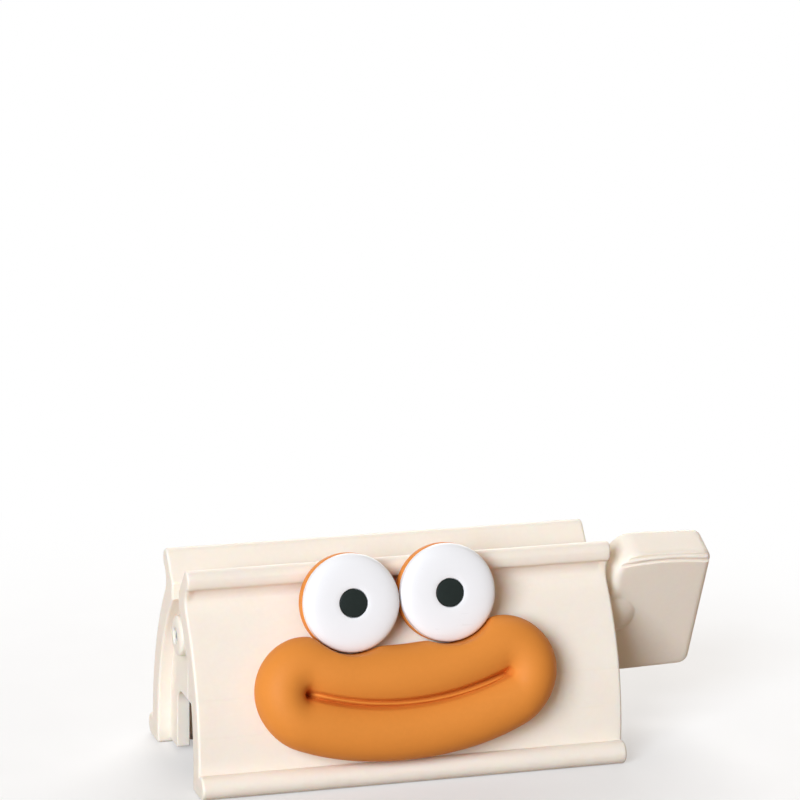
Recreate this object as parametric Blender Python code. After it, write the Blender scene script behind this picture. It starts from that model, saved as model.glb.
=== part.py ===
"""Toothpaste tube squeezer: two moulded shells make a stand with a face, and a knob turns a slotted roller.

Metres, +Z up, +X towards the knob, -Y towards the face. The origin is the middle of the front foot's
underside. Both shells share one outline, drawn as depth from the plane where they meet and height.
"""
import math

import bmesh
import bpy
from mathutils import Vector

# Shell outline
BODY_LENGTH = 0.100
LEG_DEPTH = 0.0221
LEG_START_HEIGHT = 0.0057
WAIST_DEPTH = 0.0082
WAIST_HEIGHT = 0.0412
LIP_RADIUS = 0.0021
LIP_CENTRE_DEPTH = 0.0095
LIP_CENTRE_HEIGHT = 0.0469
THROAT_HALF_WIDTH = 0.0031
THROAT_TOP_HEIGHT = 0.0425
THROAT_FILLET = 0.0012
BEAD_RADIUS = 0.00265
BEAD_PROUD = 0.0039
FLANGE_THICKNESS = 0.0054
SHELL_EDGE = 0.0005
FOOT_EDGE = 0.0007
PARTING_GAP = 0.0003
FIT_GAP = 0.0003

# Pockets moulded into the back of each leg
SKIN_THICKNESS = 0.0030
END_RECESS = 0.0030
POCKET_COUNT = 4
RIB_THICKNESS = 0.0016
POCKET_BOTTOM_HEIGHT = 0.0085
POCKET_TOP_HEIGHT = 0.0330

# End walls
WALL_THICKNESS = 0.0030
WALL_TOP_HEIGHT = 0.0413
WALL_FOOT_CLEARANCE = 0.0010
ARCH_HALF_WIDTH = 0.0100
ARCH_HEIGHT = 0.0155
ARCH_FILLET = 0.0040

# Shell screws and their posts
SCREW_INSET = 0.0115
LOWER_SCREW_HEIGHT = 0.0200
UPPER_SCREW_HEIGHT = 0.0382
LOWER_POST_RADIUS = 0.0039
UPPER_POST_RADIUS = 0.0026
SCREW_SEAT_DEPTH = 0.0080
SCREW_HEAD_RADIUS = 0.0027
SCREW_HEAD_HEIGHT = 0.0018
SCREW_SHANK_RADIUS = 0.0015
SCREW_SHANK_LENGTH = 0.0120
SCREW_HEAD_SINK = 0.0004

# Roller
AXIS_HEIGHT = 0.0311
BARREL_RADIUS = 0.0042
BARREL_CHAMFER = 0.0005
JOURNAL_RADIUS = 0.0035
SLOT_WIDTH = 0.0020
SLOT_MOUTH_WIDTH = 0.0032
SLOT_LEAD_DEPTH = 0.0010
SLOT_END_COLLAR = 0.0033
AXIAL_PLAY = 0.0004
DRIVE_SIDE = 0.0049
DRIVE_LENGTH = 0.0100
BUSH_RADIUS = 0.0050
BUSH_FLANGE_RADIUS = 0.0062
BUSH_FLANGE_THICKNESS = 0.0010

# Left end cap and its screw
CAP_RADIUS = 0.0047
CAP_THICKNESS = 0.0024
CAP_CROWN = 0.0006
CAP_SCREW_HEAD_RADIUS = 0.0016
CAP_SCREW_HEAD_HEIGHT = 0.0011
CAP_SCREW_SHANK_RADIUS = 0.0010
CAP_SCREW_SHANK_LENGTH = 0.0080

# Knob
KNOB_TILT_DEGREES = 24
WING_GAP = 0.0022
WING_LENGTH = 0.0231
WING_HALF_HEIGHT = 0.0181
WING_END_HALF_HEIGHT = 0.0172
WING_THICKNESS = 0.0095
WING_INNER_CORNER = 0.0058
WING_OUTER_CORNER = 0.0026
WING_EDGE = 0.0012
HUB_RADIUS = 0.0063
HUB_OVERLAP = 0.0088
HUB_EDGE = 0.0006
GRIP_GROOVE_RADIUS = 0.0006
GRIP_GROOVE_DROP = 0.0008
GRIP_GROOVE_PITCH = 0.0015
GRIP_GROOVE_BOW = 0.0011
GRIP_GROOVE_COUNT = 2
WASHER_RADIUS = 0.0056
WASHER_THICKNESS = 0.0008

# Face
MOUTH_OFFSET = -0.0021
EYE_OFFSET = -0.0025
FACE_LEAN_DEGREES = 1.7
EYE_RADIUS = 0.0112
EYE_TILT_DEGREES = 14
EYE_HEIGHT = 0.0408
EYE_BASE_THICKNESS = 0.0024
EYE_BASE_EDGE = 0.0004
EYE_WHITE_INSET = 0.0001
EYE_RIM_HEIGHT = 0.0027
EYE_EDGE = 0.0006
EYE_CROWN_HEIGHT = 0.0035
EYE_SPIGOT_RADIUS = 0.0030
EYE_SPIGOT_LENGTH = 0.0088
EYE_PEG_RADIUS = 0.0020
EYE_PEG_LENGTH = 0.0012
PUPIL_RADIUS = 0.00318
PUPIL_RECESS = 0.0010
PUPIL_CROWN = 0.0003
SMILE_HEIGHT = 0.0128
SMILE_RADIUS = 0.0730
SMILE_HALF_LENGTH = 0.0232
SMILE_SLIT_WIDTH = 0.0005
SMILE_SLIT_DEPTH = 0.0012
MOUTH_ROLL_RADIUS = 0.00635
MOUTH_ROLL_OFFSET = 0.0058
MOUTH_ROLL_LIFT = 0.0037
MOUTH_SCREW_SPREAD = 0.0140
MOUTH_SCREW_HEAD_RADIUS = 0.0023
MOUTH_SCREW_HEAD_HEIGHT = 0.0015
MOUTH_SCREW_SHANK_RADIUS = 0.0011
MOUTH_SCREW_REACH = 0.0045

# Overrun of cutters and joined solids past the faces they cross
OVERRUN = 0.0008

# Facets
LEG_STEPS = 16
BEAD_STEPS = 12
CORNER_STEPS = 3
EDGE_STEPS = 2
ROUND_SIDES = 32
SMALL_SIDES = 16
DOME_STEPS = 5
GROOVE_STEPS = 6
SMILE_STEPS = 22
SMILE_END_STEPS = 10
ROLL_STEPS = 12
MOUTH_BACK_RINGS = 4
SHARP_DEGREES = 35

COLOURS = {
    "ivory_plastic": (0.88, 0.76, 0.60, 1.0),
    "caramel_plastic": (0.79, 0.27, 0.05, 1.0),
    "white_plastic": (0.90, 0.90, 0.91, 1.0),
    "black_plastic": (0.012, 0.018, 0.016, 1.0),
    "natural_acetal": (0.80, 0.79, 0.74, 1.0),
    "steel": (0.56, 0.57, 0.58, 1.0),
}
ROUGHNESS = {
    "ivory_plastic": 0.45,
    "caramel_plastic": 0.50,
    "white_plastic": 0.30,
    "black_plastic": 0.35,
    "natural_acetal": 0.40,
    "steel": 0.30,
}

HALF_LENGTH = BODY_LENGTH / 2
LEG_RISE = WAIST_HEIGHT - LEG_START_HEIGHT
LEG_TAPER = LEG_DEPTH - WAIST_DEPTH
LEG_SWEEP = 2 * math.atan(LEG_TAPER / LEG_RISE)
LEG_RADIUS = LEG_RISE / math.sin(LEG_SWEEP)
LEG_CENTRE = Vector((LEG_DEPTH - LEG_RADIUS, LEG_START_HEIGHT))
BEAD_CENTRE = Vector((LEG_DEPTH + BEAD_PROUD - BEAD_RADIUS, BEAD_RADIUS))
LIP_CENTRE = Vector((LIP_CENTRE_DEPTH, LIP_CENTRE_HEIGHT))
FOOT_INNER_DEPTH = LEG_DEPTH - FLANGE_THICKNESS
FOOT_CENTRE_DEPTH = (FOOT_INNER_DEPTH + BEAD_CENTRE.x) / 2
WALL_OUTER = HALF_LENGTH - END_RECESS
WALL_INNER = WALL_OUTER - WALL_THICKNESS
SCREW_X = HALF_LENGTH - SCREW_INSET
EYE_TILT = math.radians(EYE_TILT_DEGREES)
FACE_LEAN = math.radians(FACE_LEAN_DEGREES)
EYE_SPACING = EYE_RADIUS + FIT_GAP / 2


def clear_scene():
    """Empty the scene before modelling."""
    for item in list(bpy.data.objects):
        bpy.data.objects.remove(item)


def plastic_or_metal(name):
    """The material of one finish."""
    finish = bpy.data.materials.new(name)
    finish.use_nodes = True
    shader = finish.node_tree.nodes["Principled BSDF"]
    shader.inputs["Base Color"].default_value = COLOURS[name]
    shader.inputs["Roughness"].default_value = ROUGHNESS[name]
    shader.inputs["Metallic"].default_value = float(name == "steel")
    return finish


def empty(name, location, parent=None):
    """An empty that carries the pieces of one body."""
    carrier = bpy.data.objects.new(name, None)
    carrier.location = location
    carrier.parent = parent
    bpy.context.scene.collection.objects.link(carrier)
    return carrier


def piece(name, shape, finish, parent, location=(0, 0, 0), rotation=(0, 0, 0)):
    """A named object from a bmesh, with its faces turned out and its round faces smooth."""
    bmesh.ops.recalc_face_normals(shape, faces=shape.faces)
    mesh = bpy.data.meshes.new(name)
    shape.to_mesh(mesh)
    shape.free()
    mesh.materials.append(finish)
    mesh.shade_smooth()
    mesh.set_sharp_from_angle(angle=math.radians(SHARP_DEGREES))
    item = bpy.data.objects.new(name, mesh)
    item.location = location
    item.rotation_euler = rotation
    item.parent = parent
    bpy.context.scene.collection.objects.link(item)
    return item


def tool(name, shape, parent, location=(0, 0, 0), rotation=(0, 0, 0)):
    """A solid that only cuts or joins, and is no piece itself."""
    item = piece(name, shape, bpy.data.materials["ivory_plastic"], parent, location, rotation)
    item.hide_render = True
    item.display_type = "WIRE"
    return item


def combine(target, other, operation):
    """Cut `other` from the target, or join it on."""
    step = target.modifiers.new(other.name, "BOOLEAN")
    step.operation = operation
    step.solver = "EXACT"
    step.object = other


def arc(centre, radius, start, end, steps):
    """Points of an arc between two angles in radians, both ends included."""
    angles = [start + (end - start) * step / steps for step in range(steps + 1)]
    return [centre + radius * Vector((math.cos(angle), math.sin(angle))) for angle in angles]


def rounded(corners):
    """An outline from corners given as (u, v, fillet radius)."""
    outline = []
    for index, (u, v, radius) in enumerate(corners):
        corner = Vector((u, v))
        if not radius:
            outline.append(corner)
            continue
        before = (Vector(corners[index - 1][:2]) - corner).normalized()
        after = (Vector(corners[(index + 1) % len(corners)][:2]) - corner).normalized()
        half = before.angle(after) / 2
        centre = corner + (before + after).normalized() * radius / math.sin(half)
        first = corner + before * radius / math.tan(half) - centre
        last = corner + after * radius / math.tan(half) - centre
        start = math.atan2(first.y, first.x)
        turn = math.atan2(last.y, last.x) - start
        turn = math.remainder(turn, math.tau)
        outline.extend(arc(centre, radius, start, start + turn, CORNER_STEPS))
    return outline


def inset(outline, distance):
    """The anticlockwise outline drawn in by a distance."""
    drawn = []
    for index, point in enumerate(outline):
        before = (point - outline[index - 1]).normalized()
        after = (outline[(index + 1) % len(outline)] - point).normalized()
        normal = Vector((-before.y - after.y, before.x + after.x)).normalized()
        drawn.append(point + normal * distance / normal.dot(Vector((-before.y, before.x))))
    return drawn


def loft(shape, rings, closed=False):
    """Skin a list of rings of equal count, with flat ends unless the rings close on themselves."""
    skins = [[shape.verts.new(point) for point in ring] for ring in rings]
    pairs = list(zip(skins, skins[1:]))
    if closed:
        pairs.append((skins[-1], skins[0]))
    for near, far in pairs:
        for index in range(len(near)):
            before = index - 1
            shape.faces.new((near[before], near[index], far[index], far[before]))
    if not closed:
        shape.faces.new(skins[0])
        shape.faces.new(skins[-1])
    return skins


def prism(shape, outline, start, end, edge=0):
    """Extrude an anticlockwise (Y, Z) outline along X, with rounded end edges where `edge` is given."""
    steps = EDGE_STEPS if edge else 0
    sections = [(start, edge)]
    for step in range(1, steps + 1):
        angle = math.pi / 2 * (1 - step / steps)
        sections.append((start + edge * (1 - math.sin(angle)), edge * (1 - math.cos(angle))))
    if not edge:
        sections = [(start, 0)]
    sections += [(start + end - place, depth) for place, depth in reversed(sections)]
    rings = []
    for place, depth in sections:
        drawn = inset(outline, depth) if depth else outline
        rings.append([(place, point.x, point.y) for point in drawn])
    loft(shape, rings)
    return shape


def turned(profile, sides, closed=False):
    """A solid of revolution about Z from (radius, height) points; a zero radius makes a pole."""
    shape = bmesh.new()
    rings = []
    for radius, height in profile:
        if not radius:
            rings.append([shape.verts.new((0, 0, height))])
            continue
        angles = [math.tau * side / sides for side in range(sides)]
        rings.append([shape.verts.new((radius * math.cos(a), radius * math.sin(a), height)) for a in angles])
    pairs = list(zip(rings, rings[1:]))
    if closed:
        pairs.append((rings[-1], rings[0]))
    for near, far in pairs:
        for side in range(sides):
            corners = [near[(side - 1) % len(near)], near[side % len(near)]]
            corners += [far[side % len(far)], far[(side - 1) % len(far)]]
            shape.faces.new(list(dict.fromkeys(corners)))
    return shape


def rod(radius, start, end, sides=SMALL_SIDES):
    """A plain round rod about Z."""
    return turned([(0, start), (radius, start), (radius, end), (0, end)], sides)


def box(low, high):
    """A box between two corners."""
    outline = [Vector((low[1], low[2])), Vector((high[1], low[2]))]
    outline += [Vector((high[1], high[2])), Vector((low[1], high[2]))]
    return prism(bmesh.new(), outline, low[0], high[0])


def gather(shapes):
    """One bmesh of separate solids, each given with the offset that places it."""
    whole = bmesh.new()
    for shape, offset in shapes:
        bmesh.ops.translate(shape, verts=shape.verts, vec=offset)
        spare = bpy.data.meshes.new("spare")
        shape.to_mesh(spare)
        shape.free()
        whole.from_mesh(spare)
        bpy.data.meshes.remove(spare)
    return whole


def leg_depth(height, thickness=0):
    """Depth of the leg's outer face, or of a face that lies `thickness` behind it."""
    rise = height - LEG_START_HEIGHT
    return LEG_CENTRE.x + math.sqrt((LEG_RADIUS - thickness) ** 2 - rise ** 2)


def leg_angle(height, thickness=0):
    """The angle of the leg's arc at a height."""
    return math.asin((height - LEG_START_HEIGHT) / (LEG_RADIUS - thickness))


def shell_outline():
    """Section of one shell: foot bead, leg, waist, lip, flare, throat and the leg's back."""
    bead_start = math.pi - math.acos((BEAD_CENTRE.x - LEG_DEPTH) / BEAD_RADIUS)
    throat_top = Vector((THROAT_HALF_WIDTH, THROAT_TOP_HEIGHT))
    to_lip = LIP_CENTRE - throat_top
    flare_lean = math.asin(LIP_RADIUS / to_lip.length)
    flare_end = math.atan2(to_lip.y, to_lip.x) + flare_lean + math.pi / 2
    underside = -math.pi / 2 + math.atan((LIP_CENTRE.x - WAIST_DEPTH) / (LIP_CENTRE.y - WAIST_HEIGHT))
    throat_angle = math.acos((THROAT_HALF_WIDTH - LEG_CENTRE.x) / (LEG_RADIUS - FLANGE_THICKNESS))
    foot = rounded([(FOOT_INNER_DEPTH, LEG_START_HEIGHT, 0), (FOOT_INNER_DEPTH, 0, FOOT_EDGE),
                    (BEAD_CENTRE.x, 0, 0)])
    outline = foot[1:-1]
    outline += arc(BEAD_CENTRE, BEAD_RADIUS, -math.pi / 2, bead_start, BEAD_STEPS)
    outline += arc(LEG_CENTRE, LEG_RADIUS, 0, LEG_SWEEP, LEG_STEPS)
    outline += arc(LIP_CENTRE, LIP_RADIUS, underside, flare_end, BEAD_STEPS)
    back = arc(LEG_CENTRE, LEG_RADIUS - FLANGE_THICKNESS, throat_angle, 0, LEG_STEPS)
    throat = rounded([(*outline[-1], 0), (*throat_top, THROAT_FILLET), (*back[0], 0)])
    return outline + throat[1:-1] + back


def pockets():
    """The row of pockets behind one leg, divided by upright ribs."""
    row = bmesh.new()
    low = leg_angle(POCKET_BOTTOM_HEIGHT)
    high = leg_angle(POCKET_TOP_HEIGHT)
    outline = arc(LEG_CENTRE, LEG_RADIUS - SKIN_THICKNESS, low, high, LEG_STEPS)
    outline += arc(LEG_CENTRE, LEG_RADIUS - FLANGE_THICKNESS - OVERRUN, high, low, LEG_STEPS)
    pitch = (2 * WALL_OUTER + RIB_THICKNESS) / POCKET_COUNT
    for index in range(POCKET_COUNT):
        start = index * pitch - WALL_OUTER
        prism(row, outline, start, start + pitch - RIB_THICKNESS)
    return row


def end_walls():
    """The half walls that close both ends of one shell, each with half an arch."""
    walls = bmesh.new()
    buried = SKIN_THICKNESS / 2
    parting = PARTING_GAP / 2
    leg = arc(LEG_CENTRE, LEG_RADIUS - buried, 0, leg_angle(WALL_TOP_HEIGHT, buried), LEG_STEPS)
    corners = [(parting, WALL_TOP_HEIGHT, 0), (parting, ARCH_HEIGHT, 0),
               (ARCH_HALF_WIDTH, ARCH_HEIGHT, ARCH_FILLET), (ARCH_HALF_WIDTH, WALL_FOOT_CLEARANCE, 0),
               (LEG_DEPTH - buried, WALL_FOOT_CLEARANCE, 0)]
    outline = rounded(corners) + leg
    for side in (-1, 1):
        near, far = sorted((side * WALL_INNER, side * WALL_OUTER))
        prism(walls, outline, near, far)
    return walls


def screw_places():
    """Name, X and height of each shell screw, with the radius of its post."""
    for name, side in (("left", -1), ("right", 1)):
        yield "lower_" + name, side * SCREW_X, LOWER_SCREW_HEIGHT, LOWER_POST_RADIUS
        yield "upper_" + name, side * SCREW_X, UPPER_SCREW_HEIGHT, UPPER_POST_RADIUS


def screw_seat(height):
    """Depth of a shell screw's seat, shallow enough high up for the head to lie in the leg."""
    face = leg_depth(height + SCREW_HEAD_RADIUS)
    return min(SCREW_SEAT_DEPTH, face - SCREW_HEAD_HEIGHT - SCREW_HEAD_SINK)


def posts():
    """The posts that meet across the parting plane and hold the screws."""
    shapes = []
    for _, x, height, radius in screw_places():
        buried = leg_depth(height + radius) - SKIN_THICKNESS / 2
        shapes.append((rod(radius, PARTING_GAP / 2, buried, SMALL_SIDES), (x, -height, 0)))
    return gather(shapes)


def screw_holes(front):
    """Pilot holes for the front shell, or clearance holes and counterbores for the rear one."""
    shapes = []
    hole = SCREW_SHANK_RADIUS + FIT_GAP
    head = SCREW_HEAD_RADIUS + FIT_GAP
    for _, x, height, _ in screw_places():
        seat = screw_seat(height)
        reach = SCREW_SHANK_LENGTH - seat + OVERRUN
        far = leg_depth(height) + OVERRUN + LIP_RADIUS
        if front:
            profile = [(0, -OVERRUN), (hole, -OVERRUN), (hole, reach), (0, reach)]
        else:
            profile = [(0, -OVERRUN), (hole, -OVERRUN), (hole, seat), (head, seat), (head, far), (0, far)]
        shapes.append((turned(profile, SMALL_SIDES), (x, -height, 0)))
    return gather(shapes)


def build_shell(name, front, stand, finish):
    """One moulded shell, its back pocketed, with end walls, posts and bearing seats."""
    turn = (0, 0, math.pi) if front else (0, 0, 0)
    upright = (-math.pi / 2, 0, math.pi) if front else (-math.pi / 2, 0, 0)
    shell = piece(name, prism(bmesh.new(), shell_outline(), -HALF_LENGTH, HALF_LENGTH, SHELL_EDGE),
                  finish, stand, rotation=turn)
    combine(shell, tool(name + "_pockets", pockets(), stand, rotation=turn), "DIFFERENCE")
    combine(shell, tool(name + "_walls", end_walls(), stand, rotation=turn), "UNION")
    combine(shell, tool(name + "_posts", posts(), stand, rotation=upright), "UNION")
    combine(shell, tool(name + "_screw_holes", screw_holes(front), stand, rotation=upright), "DIFFERENCE")
    seats = []
    for side in (-1, 1):
        near, far = sorted((side * (WALL_INNER - OVERRUN), side * (WALL_OUTER + OVERRUN)))
        seats.append((rod(BUSH_RADIUS + FIT_GAP, near, far, ROUND_SIDES), (0, 0, 0)))
    seat_tool = tool(name + "_bearing_seats", gather(seats), stand, (0, 0, AXIS_HEIGHT), (0, math.pi / 2, 0))
    combine(shell, seat_tool, "DIFFERENCE")
    return shell


def build_shell_screws(stand, finish):
    """Four alike screws that draw the rear shell to the front one."""
    profile = [(0, -SCREW_SHANK_LENGTH), (SCREW_SHANK_RADIUS, -SCREW_SHANK_LENGTH), (SCREW_SHANK_RADIUS, 0),
               (SCREW_HEAD_RADIUS, 0), (SCREW_HEAD_RADIUS, SCREW_HEAD_HEIGHT), (0, SCREW_HEAD_HEIGHT)]
    for name, x, height, _ in screw_places():
        piece(name + "_shell_screw", turned(profile, SMALL_SIDES), finish, stand,
              (x, screw_seat(height) + FIT_GAP, height), (-math.pi / 2, 0, 0))


def build_bush(name, side, stand, finish):
    """A flanged sleeve, trapped between the two halves of an end wall."""
    bore = JOURNAL_RADIUS + FIT_GAP
    flange_face = WALL_INNER - FIT_GAP
    inner = flange_face - BUSH_FLANGE_THICKNESS
    profile = [(bore, inner), (BUSH_FLANGE_RADIUS, inner), (BUSH_FLANGE_RADIUS, flange_face),
               (BUSH_RADIUS, flange_face), (BUSH_RADIUS, WALL_OUTER), (bore, WALL_OUTER)]
    piece(name, turned(profile, ROUND_SIDES, closed=True), finish, stand,
          (0, 0, AXIS_HEIGHT), (0, side * math.pi / 2, 0))


def build_roller(axle, finish):
    """Slotted barrel, two journals and a square drive, turned as one piece."""
    shoulder = WALL_INNER - FIT_GAP - BUSH_FLANGE_THICKNESS - AXIAL_PLAY
    journal_end = WALL_OUTER + FIT_GAP
    profile = [(0, -journal_end), (JOURNAL_RADIUS, -journal_end), (JOURNAL_RADIUS, -shoulder),
               (BARREL_RADIUS - BARREL_CHAMFER, -shoulder), (BARREL_RADIUS, BARREL_CHAMFER - shoulder),
               (BARREL_RADIUS, shoulder - BARREL_CHAMFER), (BARREL_RADIUS - BARREL_CHAMFER, shoulder),
               (JOURNAL_RADIUS, shoulder), (JOURNAL_RADIUS, journal_end), (0, journal_end)]
    roller = piece("roller_shaft", turned(profile, ROUND_SIDES), finish, axle, rotation=(0, math.pi / 2, 0))
    half = DRIVE_SIDE / 2
    drive = box((journal_end - OVERRUN, -half, -half), (journal_end + DRIVE_LENGTH, half, half))
    combine(roller, tool("roller_drive", drive, axle), "UNION")
    wide = SLOT_MOUTH_WIDTH / 2
    narrow = SLOT_WIDTH / 2
    lead = BARREL_RADIUS - SLOT_LEAD_DEPTH
    far = BARREL_RADIUS + SLOT_LEAD_DEPTH
    corners = [(-wide, -far), (wide, -far), (narrow, -lead), (narrow, lead),
               (wide, far), (-wide, far), (-narrow, lead), (-narrow, -lead)]
    slot_end = shoulder - SLOT_END_COLLAR
    slot = prism(bmesh.new(), [Vector(corner) for corner in corners], -slot_end, slot_end)
    combine(roller, tool("roller_slot", slot, axle), "DIFFERENCE")
    pilot = rod(CAP_SCREW_SHANK_RADIUS + FIT_GAP, -journal_end - OVERRUN,
                -journal_end + CAP_SCREW_SHANK_LENGTH)
    combine(roller, tool("roller_pilot", pilot, axle, rotation=(0, math.pi / 2, 0)), "DIFFERENCE")


def build_end_cap(axle, finish, steel):
    """The round cap that keeps the roller in, with its screw sunk in the middle."""
    seat = WALL_OUTER + 2 * FIT_GAP
    top = seat + CAP_THICKNESS
    floor = top - CAP_CROWN - CAP_SCREW_HEAD_HEIGHT
    hole = CAP_SCREW_SHANK_RADIUS + FIT_GAP
    recess = CAP_SCREW_HEAD_RADIUS + FIT_GAP
    profile = [(hole, seat), (CAP_RADIUS, seat), (CAP_RADIUS, top - CAP_CROWN)]
    run = CAP_RADIUS - recess
    for step in range(1, DOME_STEPS + 1):
        angle = math.pi / 2 * step / DOME_STEPS
        profile.append((recess + run * math.cos(angle), top - CAP_CROWN * (1 - math.sin(angle))))
    profile += [(recess, floor), (hole, floor)]
    outward = (0, -math.pi / 2, 0)
    piece("end_cap", turned(profile, ROUND_SIDES, closed=True), finish, axle, rotation=outward)
    head = floor + FIT_GAP
    tip = head - CAP_SCREW_SHANK_LENGTH
    crown = head + CAP_SCREW_HEAD_HEIGHT
    screw = [(0, tip), (CAP_SCREW_SHANK_RADIUS, tip), (CAP_SCREW_SHANK_RADIUS, head),
             (CAP_SCREW_HEAD_RADIUS, head), (CAP_SCREW_HEAD_RADIUS, crown), (0, crown)]
    piece("end_cap_screw", turned(screw, SMALL_SIDES), steel, axle, rotation=outward)


def grip_groove(start, end, height, side):
    """A bowed round rod that cuts a groove near the paddle's top edge, or near its bottom edge behind."""
    middle = (start + end) / 2
    rings = []
    for step in range(GROOVE_STEPS + 1):
        x = start - OVERRUN + (end - start + 2 * OVERRUN) * step / GROOVE_STEPS
        drop = GRIP_GROOVE_BOW * ((x - middle) / (end - middle)) ** 2
        centre = Vector((-WING_THICKNESS / 2, height - drop))
        section = arc(centre, GRIP_GROOVE_RADIUS, 0, math.tau, SMALL_SIDES)[1:]
        rings.append([(x, side * point.x, side * point.y) for point in section])
    shape = bmesh.new()
    loft(shape, rings)
    return shape


def build_knob(axle, finish, washer_finish):
    """A tapered paddle with rounded corners on a round hub, and the washer between hub and end wall."""
    washer_start = WALL_OUTER + FIT_GAP
    washer_end = washer_start + WASHER_THICKNESS
    bore = JOURNAL_RADIUS + FIT_GAP
    along_axis = (0, math.pi / 2, 0)
    ring = [(bore, washer_start), (WASHER_RADIUS, washer_start),
            (WASHER_RADIUS, washer_end), (bore, washer_end)]
    piece("knob_washer", turned(ring, ROUND_SIDES, closed=True), washer_finish, axle, rotation=along_axis)

    start = HALF_LENGTH + WING_GAP
    end = start + WING_LENGTH
    corners = [(start, -WING_HALF_HEIGHT, WING_INNER_CORNER),
               (end, -WING_END_HALF_HEIGHT, WING_OUTER_CORNER),
               (end, WING_END_HALF_HEIGHT, WING_OUTER_CORNER),
               (start, WING_HALF_HEIGHT, WING_INNER_CORNER)]
    half = WING_THICKNESS / 2
    wing = prism(bmesh.new(), rounded(corners), -half, half, WING_EDGE)
    knob = piece("winding_knob", wing, finish, axle, rotation=(0, 0, -math.pi / 2))

    hub_start = washer_end + FIT_GAP
    dome = start + HUB_OVERLAP - HUB_RADIUS
    profile = [(0, hub_start), (HUB_RADIUS - HUB_EDGE, hub_start), (HUB_RADIUS, hub_start + HUB_EDGE)]
    for step in range(DOME_STEPS):
        angle = math.pi / 2 * step / DOME_STEPS
        profile.append((HUB_RADIUS * math.cos(angle), dome + HUB_RADIUS * math.sin(angle)))
    profile.append((0, dome + HUB_RADIUS))
    hub = tool("knob_hub", turned(profile, ROUND_SIDES), axle, rotation=along_axis)
    combine(knob, hub, "UNION")

    socket = DRIVE_SIDE / 2 + FIT_GAP
    journal_end = WALL_OUTER + FIT_GAP
    depth = journal_end + DRIVE_LENGTH + FIT_GAP
    square = box((hub_start - OVERRUN, -socket, -socket), (depth, socket, socket))
    combine(knob, tool("knob_socket", square, axle), "DIFFERENCE")

    shapes = []
    for index in range(GRIP_GROOVE_COUNT):
        height = WING_HALF_HEIGHT - GRIP_GROOVE_DROP - index * GRIP_GROOVE_PITCH
        for side in (-1, 1):
            shapes.append((grip_groove(start, end, height, side), (0, 0, 0)))
    combine(knob, tool("knob_grip_grooves", gather(shapes), axle), "DIFFERENCE")


def on_plate(x, along, height):
    """A point of the front plate: X, distance up the leg's arc, and height over its face."""
    angle = along / LEG_RADIUS
    reach = LEG_RADIUS + height
    return Vector((x, -LEG_CENTRE.x - reach * math.cos(angle), LEG_CENTRE.y + reach * math.sin(angle)))


def mouth_ring(offset, height):
    """A closed ring round the smile, at an offset from its slit and a height over the plate."""
    half = math.asin(SMILE_HALF_LENGTH / SMILE_RADIUS)
    up = math.pi / 2 + FACE_LEAN
    down = up - math.pi
    centre = Vector((MOUTH_OFFSET, SMILE_HEIGHT)) + SMILE_RADIUS * Vector((math.cos(up), math.sin(up)))
    flat = arc(centre, SMILE_RADIUS + offset, down - half, down + half, SMILE_STEPS)
    right = centre + SMILE_RADIUS * Vector((math.cos(down + half), math.sin(down + half)))
    flat += arc(right, offset, down + half, up + half, SMILE_END_STEPS)[1:-1]
    flat += arc(centre, SMILE_RADIUS - offset, down + half, down - half, SMILE_STEPS)
    left = centre + SMILE_RADIUS * Vector((math.cos(down - half), math.sin(down - half)))
    flat += arc(left, offset, up - half, up + math.pi - half, SMILE_END_STEPS)[1:-1]
    return [on_plate(point.x, point.y, height) for point in flat]


def close_ring(shape, ring):
    """Fill a narrow ring by joining its lower side to its upper side, and close its round ends."""
    side = SMILE_STEPS + 1
    ends = SMILE_END_STEPS - 1
    lower = ring[:side]
    upper = ring[side + ends:2 * side + ends][::-1]
    for index in range(SMILE_STEPS):
        shape.faces.new((lower[index], lower[index + 1], upper[index + 1], upper[index]))
    shape.faces.new([lower[-1]] + ring[side:side + ends] + [upper[-1]])
    shape.faces.new([upper[0]] + ring[2 * side + ends:] + [lower[0]])


def build_mouth(stand, finish, eye_tools):
    """Fat lips: a round roll swept about the smile's slit and wrapped onto the front plate."""
    slit = SMILE_SLIT_WIDTH / 2
    base = math.asin((FIT_GAP - MOUTH_ROLL_LIFT) / MOUTH_ROLL_RADIUS)
    crease = math.acos((slit - MOUTH_ROLL_OFFSET) / MOUTH_ROLL_RADIUS)
    section = arc(Vector((MOUTH_ROLL_OFFSET, MOUTH_ROLL_LIFT)), MOUTH_ROLL_RADIUS, base, crease, ROLL_STEPS)
    section.append(section[-1] - Vector((0, SMILE_SLIT_DEPTH)))
    outer = section[0].x
    backs = [slit + (outer - slit) * ring / MOUTH_BACK_RINGS for ring in range(MOUTH_BACK_RINGS)]
    rings = [mouth_ring(offset, FIT_GAP) for offset in backs]
    rings += [mouth_ring(point.x, point.y) for point in section]

    shape = bmesh.new()
    skins = [[shape.verts.new(point) for point in ring] for ring in rings]
    for near, far in zip(skins, skins[1:]):
        for index in range(len(near)):
            shape.faces.new((near[index - 1], near[index], far[index], far[index - 1]))
    close_ring(shape, skins[0])
    close_ring(shape, skins[-1])
    mouth = piece("mouth", shape, finish, stand)
    for eye_tool in eye_tools:
        combine(mouth, eye_tool, "DIFFERENCE")
    return mouth


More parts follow.
